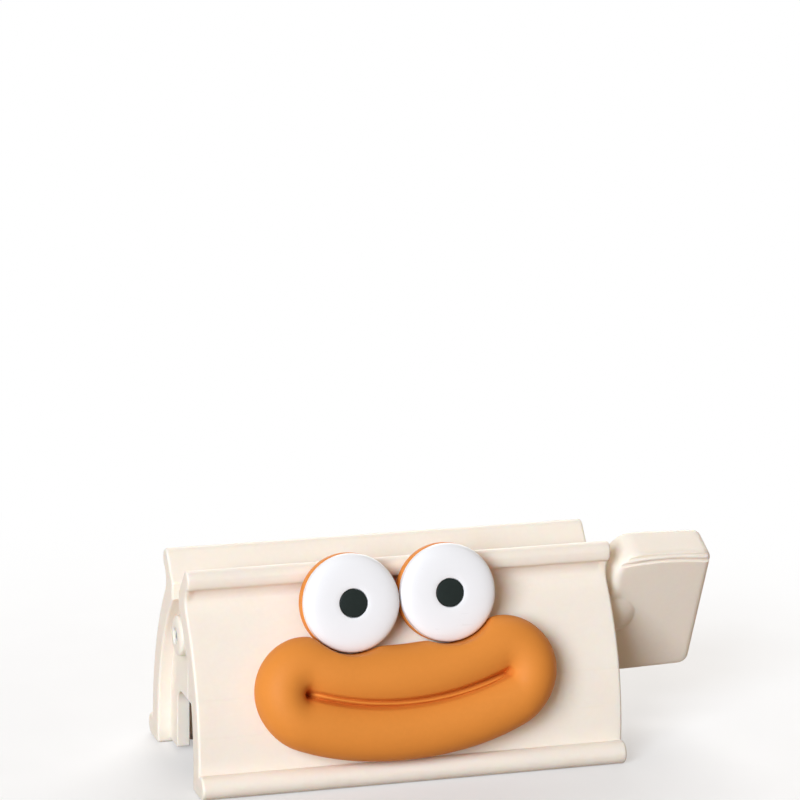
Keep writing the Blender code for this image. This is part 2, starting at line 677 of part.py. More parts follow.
def mouth_screw_frame(side):
    """Place and tilt of a mouth screw under the lower lip, square to the front plate."""
    drop = SMILE_RADIUS - math.sqrt(SMILE_RADIUS ** 2 - MOUTH_SCREW_SPREAD ** 2)
    along = SMILE_HEIGHT + drop - MOUTH_ROLL_OFFSET + side * MOUTH_SCREW_SPREAD * math.tan(FACE_LEAN)
    tilt = along / LEG_RADIUS
    place = on_plate(MOUTH_OFFSET + side * MOUTH_SCREW_SPREAD, along, 0)
    return place, (math.pi / 2 - tilt, 0, 0)


def build_mouth_screws(stand, finish, front_shell, mouth):
    """Two screws from inside the front shell into the lower lip, and the holes they need."""
    seat = -SKIN_THICKNESS - FIT_GAP
    top = seat - MOUTH_SCREW_HEAD_HEIGHT
    hole = MOUTH_SCREW_SHANK_RADIUS + FIT_GAP
    for side, name in ((-1, "left"), (1, "right")):
        place, rotation = mouth_screw_frame(side)
        profile = [(0, top), (MOUTH_SCREW_HEAD_RADIUS, top), (MOUTH_SCREW_HEAD_RADIUS, seat),
                   (MOUTH_SCREW_SHANK_RADIUS, seat), (MOUTH_SCREW_SHANK_RADIUS, MOUTH_SCREW_REACH),
                   (0, MOUTH_SCREW_REACH)]
        piece(name + "_mouth_screw", turned(profile, SMALL_SIDES), finish, stand, place, rotation)
        pilot = rod(hole, -SKIN_THICKNESS - OVERRUN, MOUTH_SCREW_REACH + FIT_GAP)
        pilot_tool = tool(name + "_mouth_pilot", pilot, stand, place, rotation)
        combine(front_shell, pilot_tool, "DIFFERENCE")
        combine(mouth, pilot_tool, "DIFFERENCE")


def eye_frame(side):
    """Place and tilt of an eye: its flat back rests on the leg at its lower edge, or on the lip."""
    height = EYE_HEIGHT + side * EYE_SPACING * math.sin(FACE_LEAN)
    edge_rise = height - EYE_RADIUS * math.cos(EYE_TILT) - LEG_START_HEIGHT
    edge_depth = LEG_CENTRE.x + math.sqrt((LEG_RADIUS + FIT_GAP) ** 2 - edge_rise ** 2)
    on_leg = edge_depth - EYE_RADIUS * math.sin(EYE_TILT)
    lip_rise = (LIP_CENTRE.y - height) * math.sin(EYE_TILT)
    on_lip = LIP_CENTRE.x + (LIP_RADIUS + FIT_GAP + lip_rise) / math.cos(EYE_TILT)
    x = EYE_OFFSET + side * EYE_SPACING * math.cos(FACE_LEAN)
    return (x, -max(on_leg, on_lip), height), (math.pi / 2 - EYE_TILT, 0, 0)


def build_eye(name, side, stand, front_shell, base_finish, white_finish, pupil_finish):
    """Base with a spigot, white domed disc with a peg, and pupil; returns the room that they need."""
    place, rotation = eye_frame(side)
    floor = EYE_BASE_THICKNESS - EYE_PEG_LENGTH - FIT_GAP
    well = EYE_PEG_RADIUS + FIT_GAP
    base = [(0, -EYE_SPIGOT_LENGTH), (EYE_SPIGOT_RADIUS, -EYE_SPIGOT_LENGTH), (EYE_SPIGOT_RADIUS, 0),
            (EYE_RADIUS - EYE_BASE_EDGE, 0), (EYE_RADIUS, EYE_BASE_EDGE), (EYE_RADIUS, EYE_BASE_THICKNESS),
            (well, EYE_BASE_THICKNESS), (well, floor), (0, floor)]
    piece(name + "_eye_base", turned(base, ROUND_SIDES), base_finish, stand, place, rotation)

    back = EYE_BASE_THICKNESS + FIT_GAP
    crown = back + EYE_CROWN_HEIGHT
    rim = back + EYE_RIM_HEIGHT
    outer = EYE_RADIUS - EYE_WHITE_INSET
    recess_floor = crown - PUPIL_RECESS
    recess = PUPIL_RADIUS + FIT_GAP
    white = [(0, back - EYE_PEG_LENGTH), (EYE_PEG_RADIUS, back - EYE_PEG_LENGTH), (EYE_PEG_RADIUS, back),
             (outer - EYE_EDGE, back), (outer, back + EYE_EDGE), (outer, rim)]
    run = outer - recess
    for step in range(1, DOME_STEPS + 1):
        angle = math.pi / 2 * step / DOME_STEPS
        white.append((recess + run * math.cos(angle), rim + (crown - rim) * math.sin(angle)))
    white += [(recess, recess_floor), (0, recess_floor)]
    piece(name + "_eye_white", turned(white, ROUND_SIDES), white_finish, stand, place, rotation)

    seat = recess_floor + FIT_GAP
    pupil = [(0, seat), (PUPIL_RADIUS, seat), (PUPIL_RADIUS, crown - PUPIL_CROWN),
             (PUPIL_RADIUS * math.sqrt(0.5), crown), (0, crown + PUPIL_CROWN)]
    piece(name + "_pupil", turned(pupil, ROUND_SIDES), pupil_finish, stand, place, rotation)

    spigot_hole = rod(EYE_SPIGOT_RADIUS + FIT_GAP, -EYE_SPIGOT_LENGTH - FIT_GAP, OVERRUN)
    combine(front_shell, tool(name + "_spigot_hole", spigot_hole, stand, place, rotation), "DIFFERENCE")
    mouth_top = MOUTH_ROLL_LIFT + MOUTH_ROLL_RADIUS
    clearance = rod(EYE_RADIUS + FIT_GAP, -FIT_GAP, max(crown, mouth_top) + OVERRUN, ROUND_SIDES)
    return tool(name + "_eye_clearance", clearance, stand, place, rotation)


def main():
    """Build the whole squeezer."""
    clear_scene()
    finishes = {name: plastic_or_metal(name) for name in COLOURS}
    ivory = finishes["ivory_plastic"]
    caramel = finishes["caramel_plastic"]
    acetal = finishes["natural_acetal"]
    steel = finishes["steel"]
    stand = empty("stand_axis", (0, FOOT_CENTRE_DEPTH, 0))
    axle = empty("roller_axis", (0, 0, AXIS_HEIGHT), stand)
    axle.rotation_euler = (math.radians(KNOB_TILT_DEGREES), 0, 0)

    front_shell = build_shell("front_shell", True, stand, ivory)
    build_shell("rear_shell", False, stand, ivory)
    build_shell_screws(stand, steel)
    build_bush("left_bush", -1, stand, acetal)
    build_bush("right_bush", 1, stand, acetal)
    build_roller(axle, acetal)
    build_end_cap(axle, ivory, steel)
    build_knob(axle, ivory, acetal)

    eye_tools = []
    for name, side in (("left", -1), ("right", 1)):
        eye_tools.append(build_eye(name, side, stand, front_shell, caramel,
                                   finishes["white_plastic"], finishes["black_plastic"]))
    mouth = build_mouth(stand, caramel, eye_tools)
    build_mouth_screws(stand, steel, front_shell, mouth)


main()
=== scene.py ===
"""Dresses the toothpaste tube squeezer: finer shapes over the CAD frame, finishes, light and camera.

Laid out as an add-on and run as a script. Metres, +Z up, +X towards the knob, -Y towards the face.
Outlines of the shells are (depth from the plane where they meet, height).
"""
import collections
from math import acos, asin, atan, atan2, cos, exp, hypot, pi, radians, remainder, sin, sqrt, tan, tau

import bmesh
import bpy
from mathutils import Matrix, Vector


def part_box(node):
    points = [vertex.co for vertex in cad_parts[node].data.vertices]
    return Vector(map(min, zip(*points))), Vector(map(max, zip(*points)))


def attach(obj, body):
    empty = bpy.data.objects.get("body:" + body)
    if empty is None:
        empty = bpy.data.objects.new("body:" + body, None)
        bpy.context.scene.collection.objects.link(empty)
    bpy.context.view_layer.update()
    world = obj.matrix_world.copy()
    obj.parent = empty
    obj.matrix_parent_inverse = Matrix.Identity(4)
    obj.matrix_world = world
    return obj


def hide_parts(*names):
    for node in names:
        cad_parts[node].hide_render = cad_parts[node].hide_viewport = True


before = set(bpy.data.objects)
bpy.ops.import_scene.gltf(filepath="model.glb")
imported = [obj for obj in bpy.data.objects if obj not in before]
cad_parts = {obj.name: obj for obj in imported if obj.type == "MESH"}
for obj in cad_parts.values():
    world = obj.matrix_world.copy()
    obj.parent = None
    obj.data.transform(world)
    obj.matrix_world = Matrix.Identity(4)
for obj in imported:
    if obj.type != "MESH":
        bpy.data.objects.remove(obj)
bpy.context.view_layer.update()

bl_info = {
    "name": "Toothpaste tube squeezer",
    "version": (1, 0, 0),
    "blender": (4, 5, 0),
    "location": "3D View > Sidebar > Squeezer",
    "description": "Builds the squeezer's dressed pieces over its CAD frame",
    "category": "Object",
}

ROLLER_LOW, ROLLER_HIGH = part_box("roller_shaft")
AXIS_PLACE = Vector((0, (ROLLER_LOW.y + ROLLER_HIGH.y) / 2, (ROLLER_LOW.z + ROLLER_HIGH.z) / 2))
MIDDLE_DEPTH = AXIS_PLACE.y

# Gaps between fitted pieces, and the overrun of cutters past the faces they cross
FIT_GAP = 0.0003
OVERRUN = 0.0008

# Facets
LEG_STEPS = 72
BEAD_STEPS = 36
NECK_STEPS = 12
CORNER_STEPS = 8
PADDLE_STEPS = 16
SQUARE_STEPS = 5
EDGE_STEPS = 5
EASE_STEPS = 10
TAKEOVER_STEPS = 6
ROUND_SIDES = 96
EYE_SIDES = 128
PUPIL_STEPS = 8
SMALL_SIDES = 48
GROOVE_STEPS = 24
SMILE_STEPS = 110
SMILE_END_STEPS = 44
LIP_STEPS = 46
UNDERSIDE_STEPS = 6
VALLEY_STEPS = 22
SHARP_DEGREES = 32

SIDES = (("left", -1), ("right", 1))

# Sizes that several pieces share
TAKEOVER = 0.0018
BUSH_FLANGE_THICKNESS = 0.0010
WASHER_THICKNESS = 0.0008
DRIVE_LENGTH = 0.0100
SPIGOT_RADIUS = 0.0030
SPIGOT_LENGTH = 0.0088
ScrewSize = collections.namedtuple("ScrewSize", "head_radius head_height shank_radius reach pitch")
SHELL_SCREW = ScrewSize(0.0027, 0.0018, 0.0015, 0.0120, 0.0011)
MOUTH_SCREW = ScrewSize(0.0023, 0.0015, 0.0011, 0.0078, 0.0009)
CAP_SCREW = ScrewSize(0.0016, 0.0011, 0.0010, 0.0080, 0.0008)

# Finish: material slot, colour, and how its moulding looks; the plating needs no more
FINISHES = {
    "ivory_moulding": ("ivory_plastic", "ivory", {"gloss": 0.46, "bottom_darkening": 0.10, "glow": 0.30, "shine": 0.3}),
    "ivory_face_plate": ("ivory_plastic", "ivory", {"gloss": 0.46, "bottom_darkening": 0.10, "glow": 0.30, "shine": 0.3,
                                                    "creases": (0.0217, 0.0135)}),
    "caramel_satin": ("caramel_plastic", "caramel",
                      {"gloss": 0.58, "mottle": 0.03, "grain": 0.000003, "shine": 0.2}),
    "white_gloss": ("white_plastic", "white", {"gloss": 0.34, "mottle": 0.008, "grain": 0.000002}),
    "black_gloss": ("black_plastic", "black",
                    {"gloss": 0.42, "mottle": 0.20, "grain": 0.000002, "shine": 0.15}),
    # finish_of finds the frame's own plain finish of this name first
    "natural_acetal": ("natural_acetal", "acetal",
                       {"gloss": 0.40, "mottle": 0.015, "grain": 0.000003, "glow": 0.1}),
    "zinc_plated_steel": ("steel", "steel", None),
}


def length(name, description, default):
    """A size in metres."""
    return bpy.props.FloatProperty(name=name, description=description, default=default, min=0,
                                   precision=5, subtype="DISTANCE", unit="LENGTH")


def degrees(name, description, default):
    """An angle, given in degrees."""
    return bpy.props.FloatProperty(name=name, description=description, default=radians(default),
                                   subtype="ANGLE", unit="ROTATION")


def colour(name, description, default):
    """A linear RGB colour."""
    return bpy.props.FloatVectorProperty(name=name, description=description, default=default, size=3,
                                         min=0, max=1, subtype="COLOR")


class ShellSizes(bpy.types.PropertyGroup):
    """Sizes of the two moulded shells."""
    body_length: length("Length", "Both shells, along the roller", 0.100)
    leg_depth: length("Leg depth", "Outer face of a leg at its foot, from the parting plane", 0.0221)
    leg_start: length("Leg start", "Height at which the curved leg begins", 0.0057)
    waist_depth: length("Waist depth", "Outer face under the lip, from the parting plane", 0.0082)
    waist_height: length("Waist height", "Where the leg ends and the lip begins", 0.0412)
    lip_radius: length("Lip radius", "Rounding of the flared lip", 0.0021)
    lip_depth: length("Lip depth", "Centre of the lip, from the parting plane", 0.0095)
    lip_height: length("Lip height", "Centre of the lip, over the floor", 0.0469)
    throat_half_width: length("Throat half width", "Half the opening between the shells' tops", 0.0031)
    throat_height: length("Throat height", "Where the flare turns down into the throat", 0.0425)
    bead_radius: length("Bead radius", "Rounding of the bead along the foot", 0.00265)
    bead_proud: length("Bead stand-out", "How far the bead stands out from the leg", 0.003895)
    flange: length("Flange thickness", "Full thickness of a leg at its ribs", 0.0054)
    skin: length("Skin thickness", "Thickness of a leg behind its pockets", 0.0030)
    end_edge: length("End edge", "Rounding of the shells' ends", 0.0006)
    screw_inset: length("Screw inset", "Shell screws, in from the ends", 0.0115)


class RollerSizes(bpy.types.PropertyGroup):
    """Sizes of the slotted roller and what carries it."""
    barrel_radius: length("Barrel radius", "Radius of the roller's barrel", 0.0042)
    journal_radius: length("Journal radius", "Radius of the roller in its bushes", 0.0035)
    slot_width: length("Slot width", "Width of the slot through the roller", 0.0020)
    slot_mouth: length("Slot mouth", "Width of the slot's flared mouth", 0.0032)
    slot_collar: length("Slot collar", "Solid barrel left at each end of the slot", 0.0033)
    drive_side: length("Drive side", "Side of the square drive in the knob", 0.0049)
    bush_radius: length("Bush radius", "Outer radius of a bush", 0.0050)
    bush_flange: length("Bush flange", "Radius of a bush's flange", 0.0062)
    cap_radius: length("Cap radius", "Round cap on the left end", 0.0047)
    cap_thickness: length("Cap thickness", "Thickness of the left end cap", 0.0024)


class KnobSizes(bpy.types.PropertyGroup):
    """Sizes of the winding knob."""
    tilt: degrees("Tilt", "Turn of the roller and its knob at rest", 24)
    gap: length("Gap", "From the shells' end to the paddle", 0.0022)
    paddle_length: length("Paddle length", "Paddle, along the roller", 0.0231)
    half_height: length("Half height", "Half the paddle across the roller, next to the shells", 0.0181)
    end_half_height: length("End half height", "Half the paddle across the roller, at its free end", 0.0172)
    thickness: length("Thickness", "Thickness of the paddle", 0.0095)
    inner_corner: length("Inner corner", "Corner rounding next to the shells", 0.0058)
    outer_corner: length("Outer corner", "Corner rounding at the free end", 0.0026)
    edge: length("Edge", "Rounding of the paddle's rim", 0.0015)
    hub_radius: length("Hub radius", "Round hub of the paddle", 0.0069)
    hub_overlap: length("Hub overlap", "How far the hub runs into the paddle", 0.0084)


class FaceSizes(bpy.types.PropertyGroup):
    """Sizes of the mouth and the eyes."""
    lean: degrees("Lean", "Rise of the face to its right", 1.7)
    mouth_offset: length("Mouth offset", "Middle of the mouth, left of the body's middle", 0.0021)
    smile_height: length("Smile height", "Lowest point of the smile, up the plate", 0.0128)
    smile_radius: length("Smile radius", "Radius of the smile's curve", 0.0730)
    smile_half: length("Smile half length", "From the middle of the smile to its end", 0.0232)
    roll_radius: length("Roll radius", "Radius of the lips' section", 0.00635)
    roll_offset: length("Roll offset", "Centre of a lip's section, from the smile", 0.0058)
    roll_lift: length("Roll lift", "Centre of a lip's section, over the plate", 0.00363)
    eye_offset: length("Eye offset", "Where the eyes meet, left of the body's middle", 0.0025)
    eye_radius: length("Eye radius", "Radius of the eye discs", 0.0112)
    eye_tilt: degrees("Eye tilt", "Lean of the eyes backward", 14)
    eye_height: length("Eye height", "Middle of the eyes' backs", 0.0408)
    eye_base: length("Eye base", "Thickness of the coloured base", 0.0024)
    eye_rim: length("Eye rim", "Height of the white disc's straight rim", 0.0016)
    eye_crown: length("Eye crown", "Thickness of the white disc", 0.0035)
    pupil_radius: length("Pupil radius", "Radius of a pupil", 0.00318)


class FinishColours(bpy.types.PropertyGroup):
    """Colours of the finishes."""
    ivory: colour("Ivory", "Moulded shells, knob and cap", (0.91, 0.83, 0.725))
    caramel: colour("Caramel", "Mouth and eye bases", (0.75, 0.26, 0.042))
    white: colour("White", "Eye discs", (0.90, 0.90, 0.91))
    black: colour("Black", "Pupils", (0.012, 0.018, 0.016))
    acetal: colour("Natural acetal", "Roller, bushes and washer", (0.80, 0.79, 0.74))
    steel: colour("Steel", "Plated screws", (0.56, 0.57, 0.58))


class StageLook(bpy.types.PropertyGroup):
    """Camera and light."""
    yaw: degrees("Camera yaw", "Turn of the view to the right", 17.1)
    dip: degrees("Camera dip", "How far the camera looks down", 14.1)
    roll: degrees("Camera roll", "Roll of the camera", -0.8)
    distance: length("Camera distance", "Camera to its target", 0.907)
    lens: bpy.props.FloatProperty(name="Lens", description="Focal length in millimetres",
                                  default=180.2, min=10, subtype="DISTANCE_CAMERA")
    key: bpy.props.FloatProperty(name="Key light", description="Power of the large lamp at the left",
                                 default=110.0, min=0, subtype="POWER", unit="POWER")
    fill: bpy.props.FloatProperty(name="Fill light", description="Strength of the light from all round",
                                  default=0.40, min=0, max=1, subtype="FACTOR")


def polar(angle, radius=1):
    """The flat vector of that length at an angle."""
    return radius * Vector((cos(angle), sin(angle)))


def arc(centre, radius, start, end, steps):
    """Points of an arc between two angles, both ends included."""
    return [centre + polar(start + (end - start) * step / steps, radius) for step in range(steps + 1)]


def rounded(corners, steps=CORNER_STEPS):
    """An outline from corners given as (u, v, fillet radius)."""
    outline = []
    for index, (u, v, radius) in enumerate(corners):
        corner = Vector((u, v))
        if not radius:
            outline.append(corner)
            continue
        before = (Vector(corners[index - 1][:2]) - corner).normalized()
        after = (Vector(corners[(index + 1) % len(corners)][:2]) - corner).normalized()
        half = before.angle(after) / 2
        centre = corner + (before + after).normalized() * radius / sin(half)
        first = corner + before * radius / tan(half) - centre
        last = corner + after * radius / tan(half) - centre
        start = atan2(first.y, first.x)
        sweep = remainder(atan2(last.y, last.x) - start, tau)
        outline.extend(arc(centre, radius, start, start + sweep, steps))
    return outline


def square(half, fillet=0):
    """A square outline about the middle."""
    corners = [(-half, -half), (half, -half), (half, half), (-half, half)]
    return rounded([(*corner, fillet) for corner in corners], SQUARE_STEPS)


def eased(outline, corner, reach):
    """A fine outline with the corner nearest a point drawn as a curve that reaches a little each way."""
    middle = min(range(len(outline)), key=lambda index: (outline[index] - corner).length)
    first = last = middle
    while (outline[first] - outline[middle]).length < reach:
        first -= 1
    while (outline[last] - outline[middle]).length < reach:
        last += 1
    start, peak, end = outline[first], outline[middle], outline[last]
    ways = [step / EASE_STEPS for step in range(1, EASE_STEPS)]
    curve = [start * (1 - way) ** 2 + peak * 2 * way * (1 - way) + end * way ** 2 for way in ways]
    return outline[:first + 1] + curve + outline[last:]


def inset(outline, distance):
    """The anticlockwise outline drawn in by a distance."""
    drawn = []
    for index, point in enumerate(outline):
        before = (point - outline[index - 1]).normalized()
        after = (outline[(index + 1) % len(outline)] - point).normalized()
        normal = Vector((-before.y - after.y, before.x + after.x)).normalized()
        drawn.append(point + normal * distance / normal.dot(Vector((-before.y, before.x))))
    return drawn


def skin(shape, rings, closed=False):
    """Skin rings of equal count, capped at both ends or closed on itself; a ring of one point is a pole."""
    loops = [[shape.verts.new(point) for point in ring] for ring in rings]
    pairs = list(zip(loops, loops[1:]))
    if closed:
        pairs.append((loops[-1], loops[0]))
    for near, far in pairs:
        for side in range(max(len(near), len(far))):
            corners = [near[(side - 1) % len(near)], near[side % len(near)]]
            corners += [far[side % len(far)], far[(side - 1) % len(far)]]
            shape.faces.new(list(dict.fromkeys(corners)))
    for loop in (loops[0], loops[-1]):
        if len(loop) > 2 and not closed:
            shape.faces.new(loop)


def prism(outline, start, end, edge=0, shape=None, middle=None):
    """Extrude an anticlockwise (Y, Z) outline along X, with rounded ends where `edge` is given.

    A `middle` outline of as many points takes over a little way in from each end.
    """
    shape = shape or bmesh.new()
    sections = [(start, inset(outline, edge) if edge else outline)]
    for step in range(1, EDGE_STEPS + 1 if edge else 0):
        angle = pi / 2 * (1 - step / EDGE_STEPS)
        depth = edge * (1 - cos(angle))
        sections.append((start + edge * (1 - sin(angle)), inset(outline, depth) if depth else outline))
    for step in range(1, TAKEOVER_STEPS + 1 if middle else 0):
        way = step / TAKEOVER_STEPS
        drawn = [near.lerp(far, way * way * (3 - 2 * way)) for near, far in zip(outline, middle)]
        sections.append((start + edge + TAKEOVER * way, drawn))
    sections += [(start + end - place, drawn) for place, drawn in reversed(sections)]
    skin(shape, [[(place, point.x, point.y) for point in drawn] for place, drawn in sections])
    return shape


def hoop(radius, height, sides):
    """Points of a level circle, or one point where its radius is zero."""
    angles = [tau * side / sides for side in range(sides if radius else 1)]
    return [(radius * cos(angle), radius * sin(angle), height) for angle in angles]


def turned(profile, sides=ROUND_SIDES, closed=False):
    """A solid of revolution about Z from (radius, height) points; a zero radius makes a pole."""
    shape = bmesh.new()
    skin(shape, [hoop(radius, height, sides) for radius, height in profile], closed)
    return shape


def rod(radius, start, end, sides=SMALL_SIDES):
    """A plain round rod about Z, for cutting."""
    return turned([(0, start), (radius, start), (radius, end), (0, end)], sides)


def chamfered(points, cut):
    """A turned profile whose corners are drawn as small chamfers."""
    profile = []
    for index, point in enumerate(points):
        for other in (points[index - 1], points[(index + 1) % len(points)]):
            run = Vector(other) - Vector(point)
            profile.append(tuple(Vector(point) + run.normalized() * min(cut, run.length / 3)))
    return profile


def crowned(inner, outer, low, high, steps, flatness=1, steepness=1):
    """Profile points of a crown, from its rim in to its top."""
    angles = [pi / 2 * step / steps for step in range(steps)]
    points = [(inner + (outer - inner) * cos(angle) ** flatness,
               low + (high - low) * sin(angle) ** steepness) for angle in angles]
    return points + [(inner, high)]


def moved(shape, offset):
    """The same bmesh, moved."""
    bmesh.ops.translate(shape, verts=shape.verts, vec=offset)
    return shape


def gather(shapes):
    """One bmesh from several."""
    whole = bmesh.new()
    for shape in shapes:
        spare = bpy.data.meshes.new("spare")
        shape.to_mesh(spare)
        shape.free()
        whole.from_mesh(spare)
        bpy.data.meshes.remove(spare)
    return whole


def bump(value, middle, spread):
    """A smooth bump of height 1."""
    return exp(-((value - middle) / spread) ** 2)


def turn(angle, axis, place=(0, 0, 0)):
    """A placement: turned about an axis, then moved."""
    return Matrix.Translation(place) @ Matrix.Rotation(angle, 4, axis)


STAND = Matrix.Translation((0, MIDDLE_DEPTH, 0))
FRONT = STAND @ turn(pi, "Z")
ALONG = turn(pi / 2, "Y")
OUTWARD = turn(-pi / 2, "Y")
REARWARD = turn(-pi / 2, "X")


def axle():
    """Placement of the pieces that turn with the knob."""
    return turn(bpy.context.scene.knob_sizes.tilt, "X", AXIS_PLACE)


def solid(name, shape, placement):
    """An object whose mesh lies in world metres."""
    bmesh.ops.recalc_face_normals(shape, faces=shape.faces)
    mesh = bpy.data.meshes.new(name)
    shape.to_mesh(mesh)
    shape.free()
    mesh.transform(placement)
    item = bpy.data.objects.new(name, mesh)
    bpy.context.scene.collection.objects.link(item)
    return item


def bake(item):
    """Turn the modifiers of an object into its mesh."""
    graph = bpy.context.evaluated_depsgraph_get()
    old = item.data
    mesh = bpy.data.meshes.new_from_object(item.evaluated_get(graph))
    item.modifiers.clear()
    item.data = mesh
    bpy.data.meshes.remove(old)
    mesh.name = item.name


def combine(item, shape, placement, operation="DIFFERENCE"):
    """Cut a shape out of a piece, or join it on."""
    other = solid("cutter", shape, placement)
    step = item.modifiers.new("step", "BOOLEAN")
    step.operation = operation
    step.solver = "EXACT"
    step.object = other
    bake(item)
    bpy.data.objects.remove(other)
    if not item.data.polygons:
        raise RuntimeError(f"{item.name} was lost in a {operation.lower()}")


def dress(item, finish, body, node):
    """Shade a piece, give it its finish, and let it stand for its CAD node."""
    item.data.materials.clear()
    item.data.materials.append(finish_of(finish))
    item.data.polygons.foreach_set("material_index", [0] * len(item.data.polygons))
    item.data.shade_smooth()
    item.data.set_sharp_from_angle(angle=radians(SHARP_DEGREES))
    even = item.modifiers.new("even", "WEIGHTED_NORMAL")
    even.keep_sharp = True
    bake(item)
    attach(item, body)
    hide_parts(node)


class Wire:
    """A socket's value in a node tree; arithmetic on it adds Math nodes."""

    def __init__(self, graph, socket):
        self.graph = graph
        self.socket = socket

    def maths(self, operation, first, second):
        """One Math node."""
        return self.graph.node("ShaderNodeMath", {"operation": operation}, {0: first, 1: second})

    def __add__(self, other):
        return self.maths("ADD", self, other)

    def __sub__(self, other):
        return self.maths("SUBTRACT", self, other)

    def __rsub__(self, other):
        return self.maths("SUBTRACT", other, self)

    def __mul__(self, other):
        return self.maths("MULTIPLY", self, other)

    __radd__ = __add__
    __rmul__ = __mul__


class Graph:
    """The node tree of a finish or of the world."""

    def __init__(self, owner):
        owner.use_nodes = True
        self.tree = owner.node_tree
        self.tree.nodes.clear()

    def node(self, kind, settings=None, sockets=None, output=0):
        """Add a node, set it up, fill or link its sockets, and give back its output if it has one."""
        made = self.tree.nodes.new(kind)
        for name, value in (settings or {}).items():
            setattr(made, name, value)
        for name, value in (sockets or {}).items():
            if isinstance(value, Wire):
                self.tree.links.new(value.socket, made.inputs[name])
            else:
                made.inputs[name].default_value = value
        return Wire(self, made.outputs[output]) if made.outputs else None

    def mix(self, factor, first, second):
        """Mix two colours."""
        return self.node("ShaderNodeMix", {"data_type": "RGBA"}, {0: factor, 6: first, 7: second}, output=2)

    def noise(self, place, scale, detail=2.0, roughness=0.5):
        """Cloudy noise whose features are about 1/scale metres across."""
        sockets = {"Vector": place, "Scale": scale, "Detail": detail, "Roughness": roughness}
        return self.node("ShaderNodeTexNoise", None, sockets)

    def stretched(self, place, scale, rotation=(0, 0, 0)):
        """The place, scaled by a different amount each way."""
        return self.node("ShaderNodeMapping", None, {"Vector": place, "Rotation": rotation, "Scale": scale})

    def height(self, place):
        """Height over the floor."""
        return self.node("ShaderNodeSeparateXYZ", None, {0: place}, output=2)

    def band(self, value, low, high):
        """0 below the low value, 1 above the high one, smooth between."""
        sockets = {"Value": value, "From Min": low, "From Max": high}
        return self.node("ShaderNodeMapRange", {"interpolation_type": "SMOOTHSTEP"}, sockets)

    def relief(self, heights):
        """Bumps stacked on one another, each a height from 0 to 1 and its depth in metres."""
        normal = None
        for height, depth in heights:
            sockets = {"Height": height, "Distance": depth, "Strength": 1.0}
            if normal:
                sockets["Normal"] = normal
            normal = self.node("ShaderNodeBump", None, sockets)
        return normal

    def principled(self, sockets):
        """Close a finish with its Principled shader."""
        shader = self.node("ShaderNodeBsdfPrincipled", None, sockets)
        self.node("ShaderNodeOutputMaterial", None, {"Surface": shader})


def tone(base, gain):
    """A colour made lighter or darker, kept within 1."""
    return tuple(min(1.0, part * gain) for part in base) + (1.0,)


def surface(name):
    """A new material, its graph, and the place on the piece in metres."""
    finish = bpy.data.materials.new(name)
    graph = Graph(finish)
    return finish, graph, graph.node("ShaderNodeTexCoord", output="Object")


def moulded_plastic(name, base, gloss, mottle=0.02, grain=0.0000035, creases=(), bottom_darkening=0.0, glow=0.0,
                    shine=0.5):
    """Moulded plastic: clouded colour, fine spark-eroded grain, slight waviness and handling scuffs."""
    finish, graph, place = surface(name)
    cloud = graph.noise(place, 70, 3)
    speck = graph.noise(place, 900)
    body = graph.mix(cloud, tone(base, 1 - 1.6 * mottle), tone(base, 1 + 1.6 * mottle))
    body = graph.mix(graph.band(speck, 0.35, 0.7) * 0.5, body, tone(base, 1 + mottle))
    scratches = graph.noise(graph.stretched(place, (35, 700, 700), (0.3, 0.2, 0.5)), 1)
    scuff = graph.band(scratches, 0.62, 0.72) * graph.band(cloud, 0.45, 0.62)
    # Within a few millimetres of the floor the colour turns darker brown in mottled patches
    if bottom_darkening:
        low = 1 - graph.band(graph.height(place), 0.0005, 0.0045)
        bottom_patches = low * graph.band(graph.noise(place, 240, 3), 0.35, 0.75)
        body = graph.mix(bottom_patches * bottom_darkening, body, (0.36, 0.27, 0.19, 1))
    rough = gloss + (cloud - 0.5) * 0.12 + (speck - 0.5) * 0.06 - scuff * 0.10
    heights = [(graph.noise(place, 160), 0.000012), (graph.noise(place, 1900, 2, 0.6), grain)]
    if creases:
        level = graph.height(place) + (graph.noise(place, 45, 1) * 0.0006 - 0.0003)
        edge = 0.0003
        step = graph.band(level, creases[0] - edge, creases[0] + edge)
        for crease in creases[1:]:
            step = step + graph.band(level, crease - edge, crease + edge) * 0.6
        heights.append((step, 0.00006))
    sockets = {"Base Color": body, "Roughness": rough, "Normal": graph.relief(heights), "IOR": 1.49,
               "Specular IOR Level": shine}
    if glow:
        sockets.update({"Subsurface Weight": glow, "Subsurface Radius": (1.0, 0.5, 0.28),
                        "Subsurface Scale": 0.0030})
    graph.principled(sockets)
    return finish


def plated_steel(name, base):
    """Zinc-plated steel: clouded plating, fine drawn lines and duller patches."""
    finish, graph, place = surface(name)
    cloud = graph.noise(place, 500, 3)
    drawn = graph.noise(graph.stretched(place, (2500, 2500, 300)), 1)
    graph.principled({"Base Color": graph.mix(cloud, tone(base, 0.86), tone(base, 1.12)),
                      "Roughness": 0.24 + cloud * 0.14 + drawn * 0.08,
                      "Metallic": 0.92 + cloud * 0.08,
                      "Normal": graph.relief([(drawn, 0.000004)])})
    return finish


def finish_of(name):
    """The finish of that name: the one that is there already, or else a new one."""
    made = bpy.data.materials.get(name)
    if made:
        return made
    _, tint, look = FINISHES[name]
    base = getattr(bpy.context.scene.finish_colours, tint)
    return moulded_plastic(name, base, **look) if look else plated_steel(name, base)


